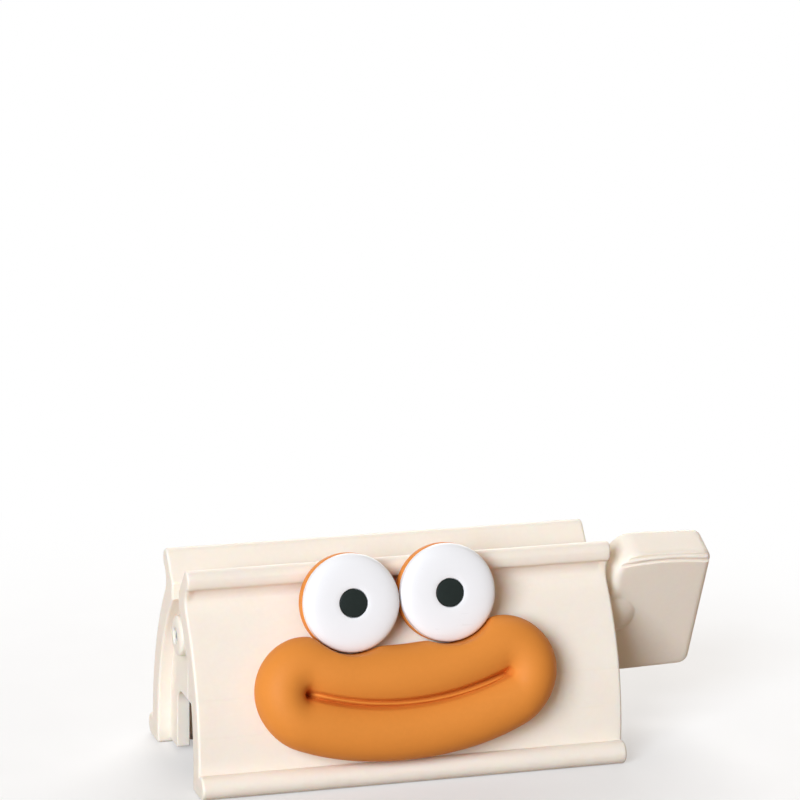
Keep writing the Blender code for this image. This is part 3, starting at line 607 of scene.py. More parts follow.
class ShellShape:
    """The section that both shells share, and the places that follow from it."""
    wall_inset = 0.0030
    wall_thickness = 0.0030
    wall_top = 0.0413
    wall_foot = 0.0010
    wall_edge = 0.00025
    arch_height = 0.0155
    arch_half = 0.0100
    arch_fillet = 0.0040
    foot_fillet = 0.0007
    leg_ease = 0.0007
    waist_ease = 0.0022
    throat_fillet = 0.0012
    lip_squareness = 0.75
    lip_fall = 1.2
    crease_depth = 0.0005
    crease_softness = 0.15
    crease_reach = 0.86
    crease_turn = radians(34)
    pocket_low = 0.0085
    pocket_high = 0.0330
    pocket_count = 4
    rib = 0.0016
    soft = 0.0004
    post_edge = 0.0003
    screw_levels = (("lower", 0.0200, 0.0039), ("upper", 0.0382, 0.0026))
    deepest_seat = 0.0080
    mouth_screw_spread = 0.0140

    def __init__(self, scene):
        self.face = scene.face_sizes
        self.size = size = scene.shell_sizes
        rise = size.waist_height - size.leg_start
        self.sweep = 2 * atan((size.leg_depth - size.waist_depth) / rise)
        self.radius = rise / sin(self.sweep)
        self.centre = Vector((size.leg_depth - self.radius, size.leg_start))
        self.bead = Vector((size.leg_depth + size.bead_proud - size.bead_radius, size.bead_radius))
        self.lip = Vector((size.lip_depth, size.lip_height))
        self.half = size.body_length / 2
        self.wall_outer = self.half - self.wall_inset
        self.wall_inner = self.wall_outer - self.wall_thickness

    def depth(self, height):
        """Depth of a leg's outer face at a height."""
        return self.centre.x + sqrt(self.radius ** 2 - (height - self.centre.y) ** 2)

    def angle(self, height, behind=0):
        """The angle of the leg's arc at a height, or of an arc behind it."""
        return asin((height - self.centre.y) / (self.radius - behind))

    def outline(self, crease):
        """Foot bead, leg, waist, lip, flare, throat and the leg's back; the lip is undercut by a share."""
        size = self.size
        inner = size.leg_depth - size.flange
        bead_start = pi - acos((self.bead.x - size.leg_depth) / size.bead_radius)
        throat_top = Vector((size.throat_half_width, size.throat_height))
        to_lip = self.lip - throat_top
        flare_end = atan2(to_lip.y, to_lip.x) + asin(size.lip_radius / to_lip.length) + pi / 2
        reach = (self.lip.x - size.waist_depth) / (self.lip.y - size.waist_height)
        underside = -pi / 2 + atan(reach)
        throat_angle = acos((size.throat_half_width - self.centre.x) / (self.radius - size.flange))
        foot = [(inner, size.leg_start, 0), (inner, 0, self.foot_fillet), (self.bead.x, 0, 0)]
        foot = rounded(foot)[1:-1] + arc(self.bead, size.bead_radius, -pi / 2, bead_start, BEAD_STEPS)
        leg = arc(self.centre, self.radius, 0, self.sweep, LEG_STEPS)
        lip = arc(self.lip, size.lip_radius, underside, flare_end, BEAD_STEPS)
        for point in lip:
            if point.y < self.lip.y:
                out = (point.x - self.lip.x) / size.lip_radius
                down = (self.lip.y - point.y) / size.lip_radius
                point.x = self.lip.x + size.lip_radius * out ** self.lip_squareness
                point.y = self.lip.y - size.lip_radius * down ** self.lip_squareness * self.lip_fall
        neck = [leg[-1].lerp(lip[0], step / NECK_STEPS) for step in range(1, NECK_STEPS)]
        outline = eased(eased(foot + leg + neck, leg[0], self.leg_ease), leg[-1], self.waist_ease)
        for point in outline:
            if point.y > size.waist_height:
                point.x -= crease * self.undercut((lip[0] - point).length / (lip[0] - leg[-1]).length)
        under = self.crease_turn / (flare_end - underside) * BEAD_STEPS
        for step, point in enumerate(lip):
            point.x -= crease * self.undercut(step / under)
        back = arc(self.centre, self.radius - size.flange, throat_angle, 0, LEG_STEPS)
        throat = rounded([(*lip[-1], 0), (*throat_top, self.throat_fillet), (*back[0], 0)])
        return outline + lip + throat[1:-1] + back

    def undercut(self, away):
        """How deep the crease under the lip is, at a share of the way out of it."""
        gone = (hypot(away, self.crease_softness) - self.crease_softness) / self.crease_reach
        return self.crease_depth * max(0, 1 - gone)

    def pockets(self):
        """Pockets behind one leg, divided by upright ribs."""
        size = self.size
        low, high = self.angle(self.pocket_low), self.angle(self.pocket_high)
        section = arc(self.centre, self.radius - size.skin, low, high, LEG_STEPS)
        section += arc(self.centre, self.radius - size.flange - OVERRUN, high, low, LEG_STEPS)
        pitch = (2 * self.wall_outer + self.rib) / self.pocket_count
        row = bmesh.new()
        for index in range(self.pocket_count):
            start = index * pitch - self.wall_outer
            prism(section, start, start + pitch - self.rib, shape=row)
        return row

    def end_walls(self):
        """Half walls that close both ends, each with half an arch."""
        buried = self.size.skin / 2
        leg = arc(self.centre, self.radius - buried, 0, self.angle(self.wall_top, buried), LEG_STEPS)
        corners = [(FIT_GAP / 2, self.wall_top, self.soft), (FIT_GAP / 2, self.arch_height, self.soft),
                   (self.arch_half, self.arch_height, self.arch_fillet),
                   (self.arch_half, self.wall_foot, self.soft),
                   (self.size.leg_depth - buried, self.wall_foot, 0)]
        walls = bmesh.new()
        for side in (-1, 1):
            near, far = sorted((side * self.wall_inner, side * self.wall_outer))
            prism(rounded(corners) + leg, near, far, self.wall_edge, shape=walls)
        return walls

    def screws(self):
        """Name, X, height, seat depth and post radius of each shell screw."""
        head = SHELL_SCREW.head_radius
        for level, height, radius in self.screw_levels:
            seat = min(self.deepest_seat, self.depth(height + head) - SHELL_SCREW.head_height - self.soft)
            for name, side in SIDES:
                yield f"{level}_{name}", side * (self.half - self.size.screw_inset), height, seat, radius

    def posts(self):
        """The posts that meet across the parting plane and hold the screws."""
        shapes = []
        near, cut = FIT_GAP / 2, self.post_edge
        for _, x, height, _, radius in self.screws():
            far = self.depth(height + radius) - self.size.skin / 2
            profile = [(0, near), (radius - cut, near), (radius, near + cut), (radius, far), (0, far)]
            shapes.append(moved(turned(profile, SMALL_SIDES), (x, -height, 0)))
        return gather(shapes)

    def screw_holes(self, front):
        """Pilot holes for the front shell, or clearance holes and counterbores for the rear one."""
        shapes = []
        hole = SHELL_SCREW.shank_radius + FIT_GAP
        head = SHELL_SCREW.head_radius + FIT_GAP
        for _, x, height, seat, _ in self.screws():
            reach = SHELL_SCREW.reach - seat + OVERRUN
            far = self.depth(height) + OVERRUN + self.size.lip_radius
            profile = [(0, -OVERRUN), (hole, -OVERRUN)]
            if front:
                profile += [(hole, reach), (0, reach)]
            else:
                profile += [(hole, seat), (head, seat), (head, far), (0, far)]
            shapes.append(moved(turned(profile, SMALL_SIDES), (x, -height, 0)))
        return gather(shapes)

    def on_plate(self, x, along, height):
        """A point over the front plate: X, distance up the leg's arc, and height over its face."""
        angle, reach = along / self.radius, self.radius + height
        return Vector((x, MIDDLE_DEPTH - self.centre.x - reach * cos(angle),
                       self.centre.y + reach * sin(angle)))

    def eye_placement(self, side):
        """Placement of an eye, whose flat back rests on the leg at its lower edge, or on the lip."""
        face = self.face
        spacing = face.eye_radius + FIT_GAP / 2
        height = face.eye_height + side * spacing * sin(face.lean)
        rise = height - face.eye_radius * cos(face.eye_tilt) - self.centre.y
        on_leg = self.centre.x + sqrt((self.radius + FIT_GAP) ** 2 - rise ** 2)
        on_leg -= face.eye_radius * sin(face.eye_tilt)
        lip_rise = (self.lip.y - height) * sin(face.eye_tilt)
        on_lip = self.lip.x + (self.size.lip_radius + FIT_GAP + lip_rise) / cos(face.eye_tilt)
        x = side * spacing * cos(face.lean) - face.eye_offset
        return turn(pi / 2 - face.eye_tilt, "X", (x, MIDDLE_DEPTH - max(on_leg, on_lip), height))

    def mouth_screw_placement(self, side):
        """Placement of a mouth screw under the lower lip, square to the front plate."""
        face, spread = self.face, self.mouth_screw_spread
        drop = face.smile_radius - sqrt(face.smile_radius ** 2 - spread ** 2)
        along = face.smile_height + drop - face.roll_offset + side * spread * tan(face.lean)
        place = self.on_plate(side * spread - face.mouth_offset, along, 0)
        return turn(pi / 2 - along / self.radius, "X", place)


def screw(name, node, size, body, placement):
    """A dressed pan-headed screw about Z: a crossed head above zero and a threaded, pointed shank below."""
    rings = [[(0, 0, -size.reach)]]
    thread_depth, point_length = size.shank_radius * 0.28, size.shank_radius * 2.2
    bluntness, rings_per_turn = 0.7, 7
    threaded = size.reach - 0.4 * size.pitch
    steps = round(threaded / size.pitch * rings_per_turn)
    for step in range(1, steps + 1):
        height = -size.reach + threaded * step / steps
        point = min(1, (height + size.reach) / point_length) ** bluntness
        ring = []
        for side in range(SMALL_SIDES):
            phase = (height / size.pitch - side / SMALL_SIDES) % 1
            radius = (size.shank_radius - thread_depth * abs(2 * phase - 1)) * point
            angle = tau * side / SMALL_SIDES
            ring.append((radius * cos(angle), radius * sin(angle), height))
        rings.append(ring)
    top, rim = size.head_height, size.head_radius
    profile = [(size.shank_radius * 0.9, 0), (rim * 0.96, 0), (rim, top * 0.08)]
    profile += crowned(0, rim, top - top * 0.45, top, 9, 0.7)
    shape = bmesh.new()
    skin(shape, rings + [hoop(radius, height, SMALL_SIDES) for radius, height in profile])
    item = solid(name, shape, placement)
    wing, half_width, floor, over = rim * 0.58, rim * 0.13, top * 0.35, top + OVERRUN
    slot = [(-wing, over), (-wing * 0.55, floor), (wing * 0.55, floor), (wing, over)]
    for angle in (0, pi / 2):
        cross = prism([Vector(corner) for corner in slot], -half_width, half_width)
        combine(item, cross, placement @ turn(angle, "Z"))
    dress(item, "zinc_plated_steel", body, node)


class SQUEEZER_OT_shells(bpy.types.Operator):
    """Front and rear shells, with end walls, pockets, posts, holes and bearing seats"""
    bl_idname = "squeezer.shells"
    bl_label = "Shells"

    def execute(self, context):
        shape = ShellShape(context.scene)
        seat = context.scene.roller_sizes.bush_radius + FIT_GAP
        for node, side, finish in (("front_shell", FRONT, "ivory_face_plate"),
                                   ("rear_shell", STAND, "ivory_moulding")):
            front = side is FRONT
            body = prism(shape.outline(0), -shape.half, shape.half, shape.size.end_edge,
                         middle=shape.outline(1))
            shell = solid(node + "_dressed", body, side)
            combine(shell, shape.pockets(), side)
            combine(shell, shape.end_walls(), side, "UNION")
            combine(shell, shape.posts(), side @ REARWARD, "UNION")
            combine(shell, shape.screw_holes(front), side @ REARWARD)
            seats = []
            for end in (-1, 1):
                near, far = sorted((end * (shape.wall_inner - OVERRUN), end * (shape.wall_outer + OVERRUN)))
                seats.append(rod(seat, near, far, ROUND_SIDES))
            combine(shell, gather(seats), Matrix.Translation(AXIS_PLACE) @ ALONG)
            for end in (-1, 1) if front else ():
                pilot = rod(MOUTH_SCREW.shank_radius + FIT_GAP, -shape.size.skin - OVERRUN, OVERRUN)
                combine(shell, pilot, shape.mouth_screw_placement(end))
                spigot = rod(SPIGOT_RADIUS + FIT_GAP, -SPIGOT_LENGTH - FIT_GAP, OVERRUN)
                combine(shell, spigot, shape.eye_placement(end))
            dress(shell, finish, "stand", node)
        return {"FINISHED"}


class SQUEEZER_OT_shell_screws(bpy.types.Operator):
    """Four screws that draw the rear shell to the front one"""
    bl_idname = "squeezer.shell_screws"
    bl_label = "Shell screws"

    def execute(self, context):
        for name, x, height, seat, _ in ShellShape(context.scene).screws():
            place = STAND @ turn(-pi / 2, "X", (x, seat + FIT_GAP, height))
            screw(name + "_screw_dressed", name + "_shell_screw", SHELL_SCREW, "stand", place)
        return {"FINISHED"}


class SQUEEZER_OT_bushes(bpy.types.Operator):
    """Flanged bushes that carry the roller in the end walls"""
    bl_idname = "squeezer.bushes"
    bl_label = "Bushes"

    def execute(self, context):
        shape = ShellShape(context.scene)
        size = context.scene.roller_sizes
        bore = size.journal_radius + FIT_GAP
        flange = shape.wall_inner - FIT_GAP
        inside = flange - BUSH_FLANGE_THICKNESS
        radius, end, edge = size.bush_radius, shape.wall_outer, 0.0002
        profile = [(bore, inside), (size.bush_flange, inside), (size.bush_flange, flange),
                   (radius, flange), (radius, end), (bore, end)]
        for name, side in SIDES:
            bush = turned(chamfered(profile, edge), closed=True)
            item = solid(name + "_bush_dressed", bush, turn(side * pi / 2, "Y", AXIS_PLACE))
            dress(item, "natural_acetal", "stand", name + "_bush")
        return {"FINISHED"}


class SQUEEZER_OT_roller(bpy.types.Operator):
    """Slotted roller with its journals and square drive"""
    bl_idname = "squeezer.roller"
    bl_label = "Roller"

    def execute(self, context):
        shape = ShellShape(context.scene)
        size = context.scene.roller_sizes
        end_play, shoulder_cut, end_cut, drive_edge, slot_lead = 0.0004, 0.0005, 0.0003, 0.0004, 0.0010
        shoulder = shape.wall_inner - FIT_GAP - BUSH_FLANGE_THICKNESS - end_play
        end = shape.wall_outer + FIT_GAP
        journal, barrel = size.journal_radius, size.barrel_radius
        half = [(barrel, shoulder - shoulder_cut), (barrel - shoulder_cut, shoulder), (journal, shoulder),
                (journal, end - end_cut), (journal - end_cut, end), (0, end)]
        profile = [(radius, -height) for radius, height in reversed(half)] + half
        item = solid("roller_dressed", turned(profile), axle() @ ALONG)
        outline = square(size.drive_side / 2, drive_edge)
        drive = prism(outline, end - OVERRUN, end + DRIVE_LENGTH, drive_edge)
        combine(item, drive, axle(), "UNION")
        wide, narrow = size.slot_mouth / 2, size.slot_width / 2
        lead, far = barrel - slot_lead, barrel + slot_lead
        slot = [(-wide, -far), (wide, -far), (narrow, -lead), (narrow, lead),
                (wide, far), (-wide, far), (-narrow, lead), (-narrow, -lead)]
        stop = shoulder - size.slot_collar
        combine(item, prism([Vector(corner) for corner in slot], -stop, stop), axle())
        pilot = rod(CAP_SCREW.shank_radius + FIT_GAP, -end - OVERRUN, CAP_SCREW.reach - end)
        combine(item, pilot, axle() @ ALONG)
        dress(item, "natural_acetal", "roller", "roller_shaft")
        return {"FINISHED"}


class SQUEEZER_OT_end_cap(bpy.types.Operator):
    """Round cap on the left end and the screw sunk in it"""
    bl_idname = "squeezer.end_cap"
    bl_label = "End cap and screw"

    def execute(self, context):
        size = context.scene.roller_sizes
        crown, edge = 0.0006, 0.0002
        seat = ShellShape(context.scene).wall_outer + 2 * FIT_GAP
        top = seat + size.cap_thickness
        floor = top - crown - CAP_SCREW.head_height
        hole, recess = CAP_SCREW.shank_radius + FIT_GAP, CAP_SCREW.head_radius + FIT_GAP
        profile = [(hole, seat), (size.cap_radius - edge, seat), (size.cap_radius, seat + edge)]
        profile += crowned(recess + edge, size.cap_radius, top - crown - 2 * edge, top, 14, 0.8, 0.8)
        profile += [(recess, top - edge), (recess, floor), (hole, floor)]
        cap = solid("end_cap_dressed", turned(profile, closed=True), axle() @ OUTWARD)
        dress(cap, "ivory_moulding", "roller", "end_cap")
        place = axle() @ OUTWARD @ Matrix.Translation((0, 0, floor + FIT_GAP))
        screw("end_cap_screw_dressed", "end_cap_screw", CAP_SCREW, "roller", place)
        return {"FINISHED"}


class SQUEEZER_OT_knob(bpy.types.Operator):
    """Winding knob with its softly blended hub and grip grooves, and the washer behind it"""
    bl_idname = "squeezer.knob"
    bl_label = "Knob and washer"
    washer_radius = 0.0056
    washer_edge = 0.00015
    hub_edge = 0.0006
    groove_radius = 0.0006
    groove_bow = 0.0012
    groove_depths = (0.0008, 0.0023)

    def execute(self, context):
        shape = ShellShape(context.scene)
        knob = context.scene.knob_sizes
        roller = context.scene.roller_sizes
        washer_start = shape.wall_outer + FIT_GAP
        washer_end = washer_start + WASHER_THICKNESS
        bore, rim = roller.journal_radius + FIT_GAP, self.washer_radius
        ring = [(bore, washer_start), (rim, washer_start), (rim, washer_end), (bore, washer_end)]
        washer = turned(chamfered(ring, self.washer_edge), closed=True)
        washer = solid("knob_washer_dressed", washer, axle() @ ALONG)
        dress(washer, "natural_acetal", "roller", "knob_washer")

        start = shape.half + knob.gap
        end = start + knob.paddle_length
        tall, low, half = knob.half_height, knob.end_half_height, knob.thickness / 2
        corners = [(start, -tall, knob.inner_corner), (end, -low, knob.outer_corner),
                   (end, low, knob.outer_corner), (start, tall, knob.inner_corner)]
        paddle = prism(rounded(corners, PADDLE_STEPS), -half, half, knob.edge)
        item = solid("winding_knob_dressed", paddle, turn(-pi / 2, "Z"))
        hub_start = washer_end + FIT_GAP
        hub_end = start + knob.hub_overlap
        hub = [(0, hub_start), (knob.hub_radius - self.hub_edge, hub_start),
               (knob.hub_radius, hub_start + self.hub_edge)]
        hub += crowned(0, knob.hub_radius, hub_end - knob.hub_radius, hub_end, PADDLE_STEPS)
        combine(item, turned(hub), ALONG, "UNION")
        weld = item.modifiers.new("weld", "REMESH")
        weld.mode = "VOXEL"
        weld.voxel_size = 0.00028
        soft = item.modifiers.new("soft", "SMOOTH")
        soft.factor = 0.5
        soft.iterations = 2
        bake(item)
        grooves = bmesh.new()
        for depth in self.groove_depths:
            for side in (-1, 1):
                skin(grooves, self.groove(start - OVERRUN, end + OVERRUN, tall - depth, half, side))
        combine(item, grooves, Matrix())
        drive_end = shape.wall_outer + FIT_GAP + DRIVE_LENGTH + FIT_GAP
        socket = prism(square(roller.drive_side / 2 + FIT_GAP), hub_start - OVERRUN, drive_end)
        combine(item, socket, Matrix())
        item.data.transform(axle())
        dress(item, "ivory_moulding", "roller", "winding_knob")
        return {"FINISHED"}

    def groove(self, start, end, height, half, side):
        """Rings of a bowed round rod near the paddle's top edge, or near its bottom edge behind."""
        middle = (start + end) / 2
        rings = []
        for step in range(GROOVE_STEPS + 1):
            x = start + (end - start) * step / GROOVE_STEPS
            centre = Vector((-half, height - self.groove_bow * ((x - middle) / (end - middle)) ** 2))
            section = arc(centre, self.groove_radius, 0, tau, GROOVE_STEPS)[1:]
            rings.append([(x, side * point.x, side * point.y) for point in section])
        return rings


class Smile:
    """The curve of the smile and the lips' height about it."""
    valley_half = 0.0012
    valley_floor = 0.0046
    valley_end = 0.00004
    rib_height = 0.0070
    rib_half = 0.001
    rib_slant = 0.0004
    corner_narrowing = 0.055
    corner_filling = 0.03
    blend = 0.00015

    def __init__(self, face):
        self.face = face
        self.half = asin(face.smile_half / face.smile_radius)
        self.down = pi / 2 + face.lean - pi
        lift = polar(pi / 2 + face.lean, face.smile_radius)
        self.centre = Vector((-face.mouth_offset, face.smile_height)) + lift

    def narrowed(self, beyond):
        """Share of a lip's width kept at a way round the lower corner, in radians past the smile's end."""
        return 1 - self.corner_narrowing * bump(beyond, 0.5, 0.75)

    def ring(self, reach):
        """Points round the smile at a distance: flat place, side (-1 below, 1 above), and way along."""
        ways = [2 * step / SMILE_STEPS - 1 for step in range(SMILE_STEPS + 1)]
        places = []
        for way in ways:
            kept = self.narrowed(-2 * (1 - abs(way)))
            places.append((self.spot(way, reach * kept), -1, way))
        places += self.end_ring(reach, 1)
        for way in ways:
            places.append((self.spot(-way, -reach), 1, -way))
        return places + self.end_ring(reach, -1)

    def spot(self, way, reach):
        """The flat place at a way along the smile, from -1 to 1, and a distance below it."""
        return self.centre + polar(self.down + self.half * way, self.face.smile_radius + reach)

    def end_ring(self, reach, end):
        """The half circle round one end of the smile."""
        places = []
        for step in range(1, SMILE_END_STEPS):
            way = pi * step / SMILE_END_STEPS
            beyond = way if end > 0 else pi - way
            aim = self.down + self.half * end + way + (0 if end > 0 else pi)
            kept = self.narrowed(beyond) + max(0, end) * self.corner_filling * bump(beyond, 1.4, 0.7)
            places.append((self.spot(end, 0) + polar(aim, reach * kept), -cos(beyond), end))
        return places

    def valley(self, reach, side, way):
        """Height in the valley between the lips, with the thin rib along its floor."""
        face = self.face
        rim = face.roll_lift + sqrt(face.roll_radius ** 2 - (self.valley_half - face.roll_offset) ** 2)
        across = reach / self.valley_half
        wall = self.valley_floor + (rim - self.valley_floor) * across ** 2 * (2.5 - 1.5 * across)
        offset = (reach * side + self.rib_slant * way) / self.rib_half
        rib = self.rib_height - 0.0040 * offset ** 2 - 0.0020 * abs(way) ** 14
        return (wall + rib + hypot(wall - rib, self.blend)) / 2

    def pit(self, reach, way):
        """Depth of the soft dimple at the left end of the smile."""
        from_end = hypot(reach, (1 + way) * self.face.smile_half)
        return 0.0026 * bump(from_end, 0, 0.0012) + 0.0006 * bump(from_end, 0, 0.0034)


class SQUEEZER_OT_mouth(bpy.types.Operator):
    """Fat lips swept about the smile and wrapped onto the front plate, with their two screws"""
    bl_idname = "squeezer.mouth"
    bl_label = "Mouth and screws"
    underside_start = 0.0003
    pilot_start = -0.0010
    eye_blend = 0.0007
    eye_blend_reach = 0.004

    def execute(self, context):
        shape = ShellShape(context.scene)
        lips = bmesh.new()
        loops = self.loops(lips, shape)
        for near, far in zip(loops, loops[1:]):
            for index in range(len(near)):
                lips.faces.new((near[index - 1], near[index], far[index], far[index - 1]))
        for loop in (loops[0], loops[-1]):
            self.close(lips, loop)
        mouth = solid("mouth_dressed", lips, Matrix())
        for name, side in SIDES:
            place = shape.mouth_screw_placement(side)
            reach = MOUTH_SCREW.reach - shape.size.skin
            combine(mouth, rod(MOUTH_SCREW.shank_radius + FIT_GAP, self.pilot_start, reach), place)
            flipped = place @ turn(pi, "X", (0, 0, -shape.size.skin - FIT_GAP))
            screw(name + "_mouth_screw_dressed", name + "_mouth_screw", MOUTH_SCREW, "stand", flipped)
        dress(mouth, "caramel_satin", "stand", "mouth")
        return {"FINISHED"}

    def loops(self, lips, shape):
        """The lips' rings of vertices, from under them, over the rolls and down into the valley."""
        face = shape.face
        smile = Smile(face)
        base = asin((FIT_GAP - face.roll_lift) / face.roll_radius)
        crease = acos((smile.valley_half - face.roll_offset) / face.roll_radius)
        rolls = arc(Vector((face.roll_offset, face.roll_lift)), face.roll_radius, base, crease, LIP_STEPS)
        rings = []
        for step in range(UNDERSIDE_STEPS):
            reach = self.underside_start + (rolls[0].x - self.underside_start) * step / UNDERSIDE_STEPS
            rings.append([(spot, FIT_GAP) for spot, _, _ in smile.ring(reach)])
        for point in rolls:
            rings.append([(spot, point.y - smile.pit(point.x, way))
                          for spot, _, way in smile.ring(point.x)])
        for step in range(1, VALLEY_STEPS + 1):
            reach = smile.valley_half + (smile.valley_end - smile.valley_half) * step / VALLEY_STEPS
            rings.append([(spot, smile.valley(reach, side, way) - smile.pit(reach, way))
                          for spot, side, way in smile.ring(reach)])
        eyes = [shape.eye_placement(side) for side in (-1, 1)]
        room = face.eye_radius + FIT_GAP
        return [[lips.verts.new(self.clear_of(eyes, shape.on_plate(spot.x, spot.y, height), room))
                 for spot, height in ring] for ring in rings]

    def clear_of(self, eyes, point, room):
        """The point, pushed softly out of the room that each eye takes."""
        for eye in eyes:
            local = eye.inverted() @ point
            reach = hypot(local.x, local.y)
            if reach > room + self.eye_blend_reach:
                continue
            pushed = (reach + room + hypot(reach - room, self.eye_blend)) / 2
            local.x *= pushed / reach
            local.y *= pushed / reach
            point = eye @ local
        return point

    @staticmethod
    def close(lips, ring):
        """Fill a narrow ring by joining its lower side to its upper side, and close its round ends."""
        side = SMILE_STEPS + 1
        ends = SMILE_END_STEPS - 1
        lower = ring[:side]
        upper = ring[side + ends:2 * side + ends][::-1]
        for index in range(SMILE_STEPS):
            lips.faces.new((lower[index], lower[index + 1], upper[index + 1], upper[index]))
        lips.faces.new([lower[-1]] + ring[side:side + ends] + [upper[-1]])
        lips.faces.new([upper[0]] + ring[2 * side + ends:] + [lower[0]])


class SQUEEZER_OT_eyes(bpy.types.Operator):
    """Eye bases with spigots, white domed discs and pupils"""
    bl_idname = "squeezer.eyes"
    bl_label = "Eyes"
    peg_radius = 0.0020
    peg_length = 0.0012
    pit_depth = 0.0010
    soft = 0.0004
    fine = 0.0001
    edge = 0.0002

    def execute(self, context):
        shape = ShellShape(context.scene)
        pieces = (("eye_base", self.base(shape.face), "caramel_satin"),
                  ("eye_white", self.white(shape.face), "white_gloss"),
                  ("pupil", self.pupil(shape.face), "black_gloss"))
        for name, side in SIDES:
            place = shape.eye_placement(side)
            for kind, profile, finish in pieces:
                item = solid(f"{name}_{kind}_dressed", turned(profile, EYE_SIDES), place)
                dress(item, finish, "stand", f"{name}_{kind}")
        return {"FINISHED"}

    def base(self, face):
        """Profile of the coloured base: spigot, soft back edge, and the well for the white disc's peg."""
        radius, thick, soft, fine = face.eye_radius, face.eye_base, self.soft, self.fine
        cut, edge = 0.0005, 0.00015
        floor = thick - self.peg_length - FIT_GAP
        well = self.peg_radius + FIT_GAP
        spigot, foot = SPIGOT_RADIUS, -SPIGOT_LENGTH
        profile = [(0, foot), (spigot - cut, foot), (spigot, cut + foot), (spigot, 0)]
        profile += [(radius - soft, 0), (radius - fine, fine), (radius, soft), (radius, thick - edge)]
        return profile + [(radius - edge, thick), (well, thick), (well, floor), (0, floor)]

    def white(self, face):
        """Profile of the white disc: peg, soft back edge, dome, and the recess for the pupil."""
        peg, soft, fine, edge = self.peg_radius, self.soft, self.fine, self.edge
        back = face.eye_base + FIT_GAP
        foot = back - self.peg_length
        crown = back + face.eye_crown
        outer = face.eye_radius - fine
        recess = face.pupil_radius + 0.00012
        pit, lip = crown - self.pit_depth, 0.00006
        profile = [(0, foot), (peg - edge, foot), (peg, foot + edge), (peg, back)]
        profile += [(outer - soft, back), (outer - fine, back + fine), (outer, back + soft)]
        profile += crowned(recess + edge, outer, back + face.eye_rim, crown, 32, 0.62, 0.82)
        return profile + [(recess + lip, crown - lip), (recess, crown - edge), (recess, pit), (0, pit)]

    def pupil(self, face):
        """Profile of a pupil, which stands a hair over the white disc."""
        radius, edge, proud = face.pupil_radius, self.edge, 0.00022
        crown = face.eye_base + FIT_GAP + face.eye_crown
        seat = crown - self.pit_depth + FIT_GAP
        profile = [(0, seat), (radius, seat)]
        for step in range(PUPIL_STEPS + 1):
            angle = pi / 2 * step / PUPIL_STEPS
            profile.append((radius * (1 - 0.08 * (1 - cos(angle))), crown - edge + edge * sin(angle)))
        profile += [(radius * 0.6, crown + 0.00015), (radius * 0.3, crown + 0.0002)]
        return profile + [(0, crown + proud)]


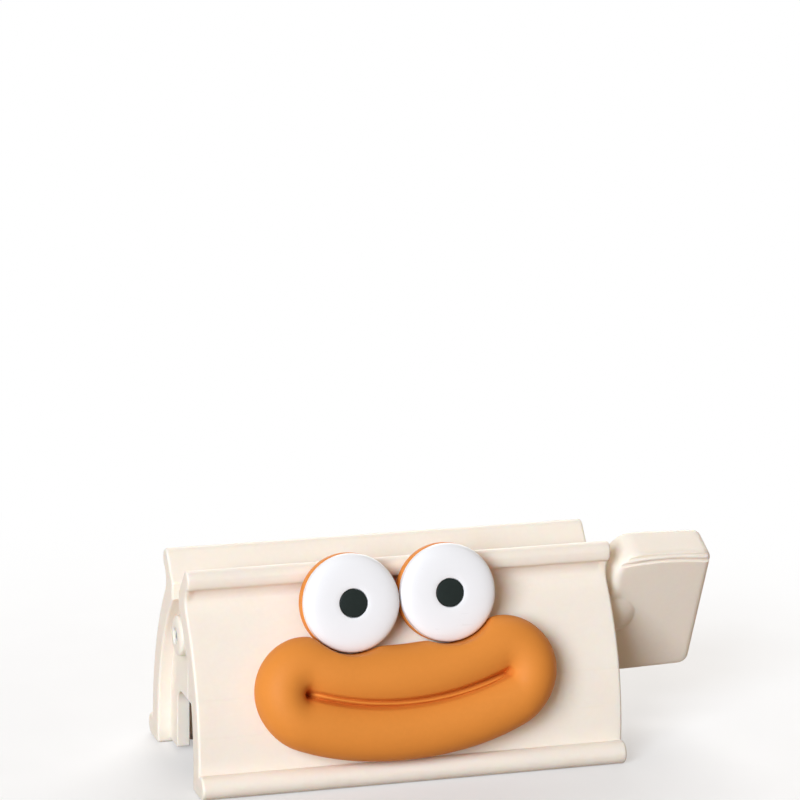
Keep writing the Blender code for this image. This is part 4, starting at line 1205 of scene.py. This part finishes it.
class SQUEEZER_OT_stage(bpy.types.Operator):
    """Pale floor, soft light and the camera"""
    bl_idname = "squeezer.stage"
    bl_label = "Stage"
    disc_radius = 2.4
    disc_thickness = 0.004
    warm_bounce = (0.27, 0.17, 0.095, 1)
    light_from = (-0.68, -0.62, 0.30)
    target = Vector((0.0024, MIDDLE_DEPTH, 0.0829))

    def execute(self, context):
        scene = context.scene
        self.floor()
        self.lights(scene)
        self.camera(scene)
        scene.view_settings.view_transform = "Standard"
        return {"FINISHED"}

    def floor(self):
        """A round floor that is pale near the squeezer and pure white to the camera further out."""
        disc = solid("floor", rod(self.disc_radius, -self.disc_thickness, 0, ROUND_SIDES), STAND)
        finish, graph, place = surface("pale_floor")
        pale = graph.mix(graph.noise(place, 12, 3), (0.86, 0.855, 0.85, 1), (0.90, 0.895, 0.89, 1))
        paint = graph.node("ShaderNodeBsdfPrincipled", None, {
            "Base Color": graph.mix(self.shown(graph), self.warm_bounce, pale),
            "Roughness": 0.55 + graph.noise(place, 60, 3) * 0.15})
        away = graph.node("ShaderNodeVectorMath", {"operation": "LENGTH"}, {0: place}, output="Value")
        veil = (0.40 + graph.band(away, 0.07, 0.24) * 0.60) * self.shown(graph)
        self.whiten(graph, "ShaderNodeOutputMaterial", veil, paint, "ShaderNodeEmission")
        disc.data.materials.append(finish)

    @staticmethod
    def shown(graph):
        """1 where the camera, a reflection or a transparent piece looks at a surface, else 0."""
        path = graph.node("ShaderNodeLightPath").socket.node
        camera, glossy, clear = [Wire(graph, path.outputs[f"Is {kind} Ray"])
                                 for kind in ("Camera", "Glossy", "Transmission")]
        return graph.node("ShaderNodeClamp", None, {"Value": camera + glossy + clear})

    @staticmethod
    def whiten(graph, end, amount, shader, kind):
        """Close a tree with its shader, turned white by an amount."""
        white = graph.node(kind, None, {"Color": (1, 1, 1, 1), "Strength": 1.0})
        both = graph.node("ShaderNodeMixShader", None, {0: amount, 1: shader, 2: white})
        graph.node(end, None, {"Surface": both})

    def lights(self, scene):
        """A large cool lamp at the front left, a weak one behind at the right, and warm light all round."""
        look = scene.stage_look
        middle = Vector((0, MIDDLE_DEPTH, 0.03))
        lamps = (("key_lamp", Vector((-2.08, -2.40, 1.25)), look.key, 1.6, (0.925, 1.03, 1.16)),
                 ("back_lamp", Vector((0.35, 0.75, 0.55)), look.key * 0.065, 0.8, (1.0, 1.0, 1.0)))
        for name, place, power, side, tint in lamps:
            lamp = bpy.data.objects.new(name, bpy.data.lights.new(name, "AREA"))
            lamp.data.color = tint
            lamp.data.energy = power
            lamp.data.size = side
            lamp.location = middle + place
            lamp.rotation_euler = (-place).to_track_quat("-Z", "Y").to_euler()
            scene.collection.objects.link(lamp)
        scene.world = bpy.data.worlds.new("soft_room")
        graph = Graph(scene.world)
        aim = graph.node("ShaderNodeTexCoord", output="Generated")
        toward = graph.node("ShaderNodeVectorMath", {"operation": "DOT_PRODUCT"},
                            {0: aim, 1: self.light_from}, output="Value")
        room = graph.node("ShaderNodeBackground", None, {
            "Color": graph.mix(0.5 + toward * 0.5, (1, 0.85, 0.68, 1), (1, 0.72, 0.44, 1)),
            "Strength": look.fill * (0.5 + toward * 0.5)})
        self.whiten(graph, "ShaderNodeOutputWorld", self.shown(graph), room, "ShaderNodeBackground")

    def camera(self, scene):
        """The camera, at the photograph's angle."""
        look = scene.stage_look
        view = turn(-look.yaw, "Z", self.target) @ turn(pi / 2 - look.dip, "X")
        view = view @ turn(-look.roll, "Z", (0, 0, look.distance))
        camera = bpy.data.objects.new("camera", bpy.data.cameras.new("camera"))
        camera.data.sensor_width = 36
        camera.data.lens = look.lens
        camera.data.clip_start = 0.01
        camera.matrix_world = view
        scene.collection.objects.link(camera)
        scene.camera = camera


BUILD_STEPS = (SQUEEZER_OT_shells, SQUEEZER_OT_shell_screws, SQUEEZER_OT_bushes, SQUEEZER_OT_roller,
               SQUEEZER_OT_end_cap, SQUEEZER_OT_knob, SQUEEZER_OT_mouth, SQUEEZER_OT_eyes,
               SQUEEZER_OT_stage)


class SQUEEZER_PT_panel(bpy.types.Panel):
    """Lists what builds the squeezer"""
    bl_idname = "SQUEEZER_PT_panel"
    bl_label = "Tube squeezer"
    bl_space_type = "VIEW_3D"
    bl_region_type = "UI"
    bl_category = "Squeezer"

    def draw(self, context):
        for step in BUILD_STEPS:
            self.layout.operator(step.bl_idname)


GROUPS = {
    "shell_sizes": ShellSizes,
    "roller_sizes": RollerSizes,
    "knob_sizes": KnobSizes,
    "face_sizes": FaceSizes,
    "finish_colours": FinishColours,
    "stage_look": StageLook,
}


def register():
    """Add the property groups, operators and panel."""
    for name, group in GROUPS.items():
        bpy.utils.register_class(group)
        setattr(bpy.types.Scene, name, bpy.props.PointerProperty(type=group))
    for cls in (*BUILD_STEPS, SQUEEZER_PT_panel):
        bpy.utils.register_class(cls)


def unregister():
    """Take them away again."""
    for cls in (SQUEEZER_PT_panel, *BUILD_STEPS):
        bpy.utils.unregister_class(cls)
    for name, group in GROUPS.items():
        delattr(bpy.types.Scene, name)
        bpy.utils.unregister_class(group)


def main():
    """Build everything."""
    register()
    for step in BUILD_STEPS:
        group, name = step.bl_idname.split(".")
        getattr(getattr(bpy.ops, group), name)()


if __name__ == "__main__":
    main()
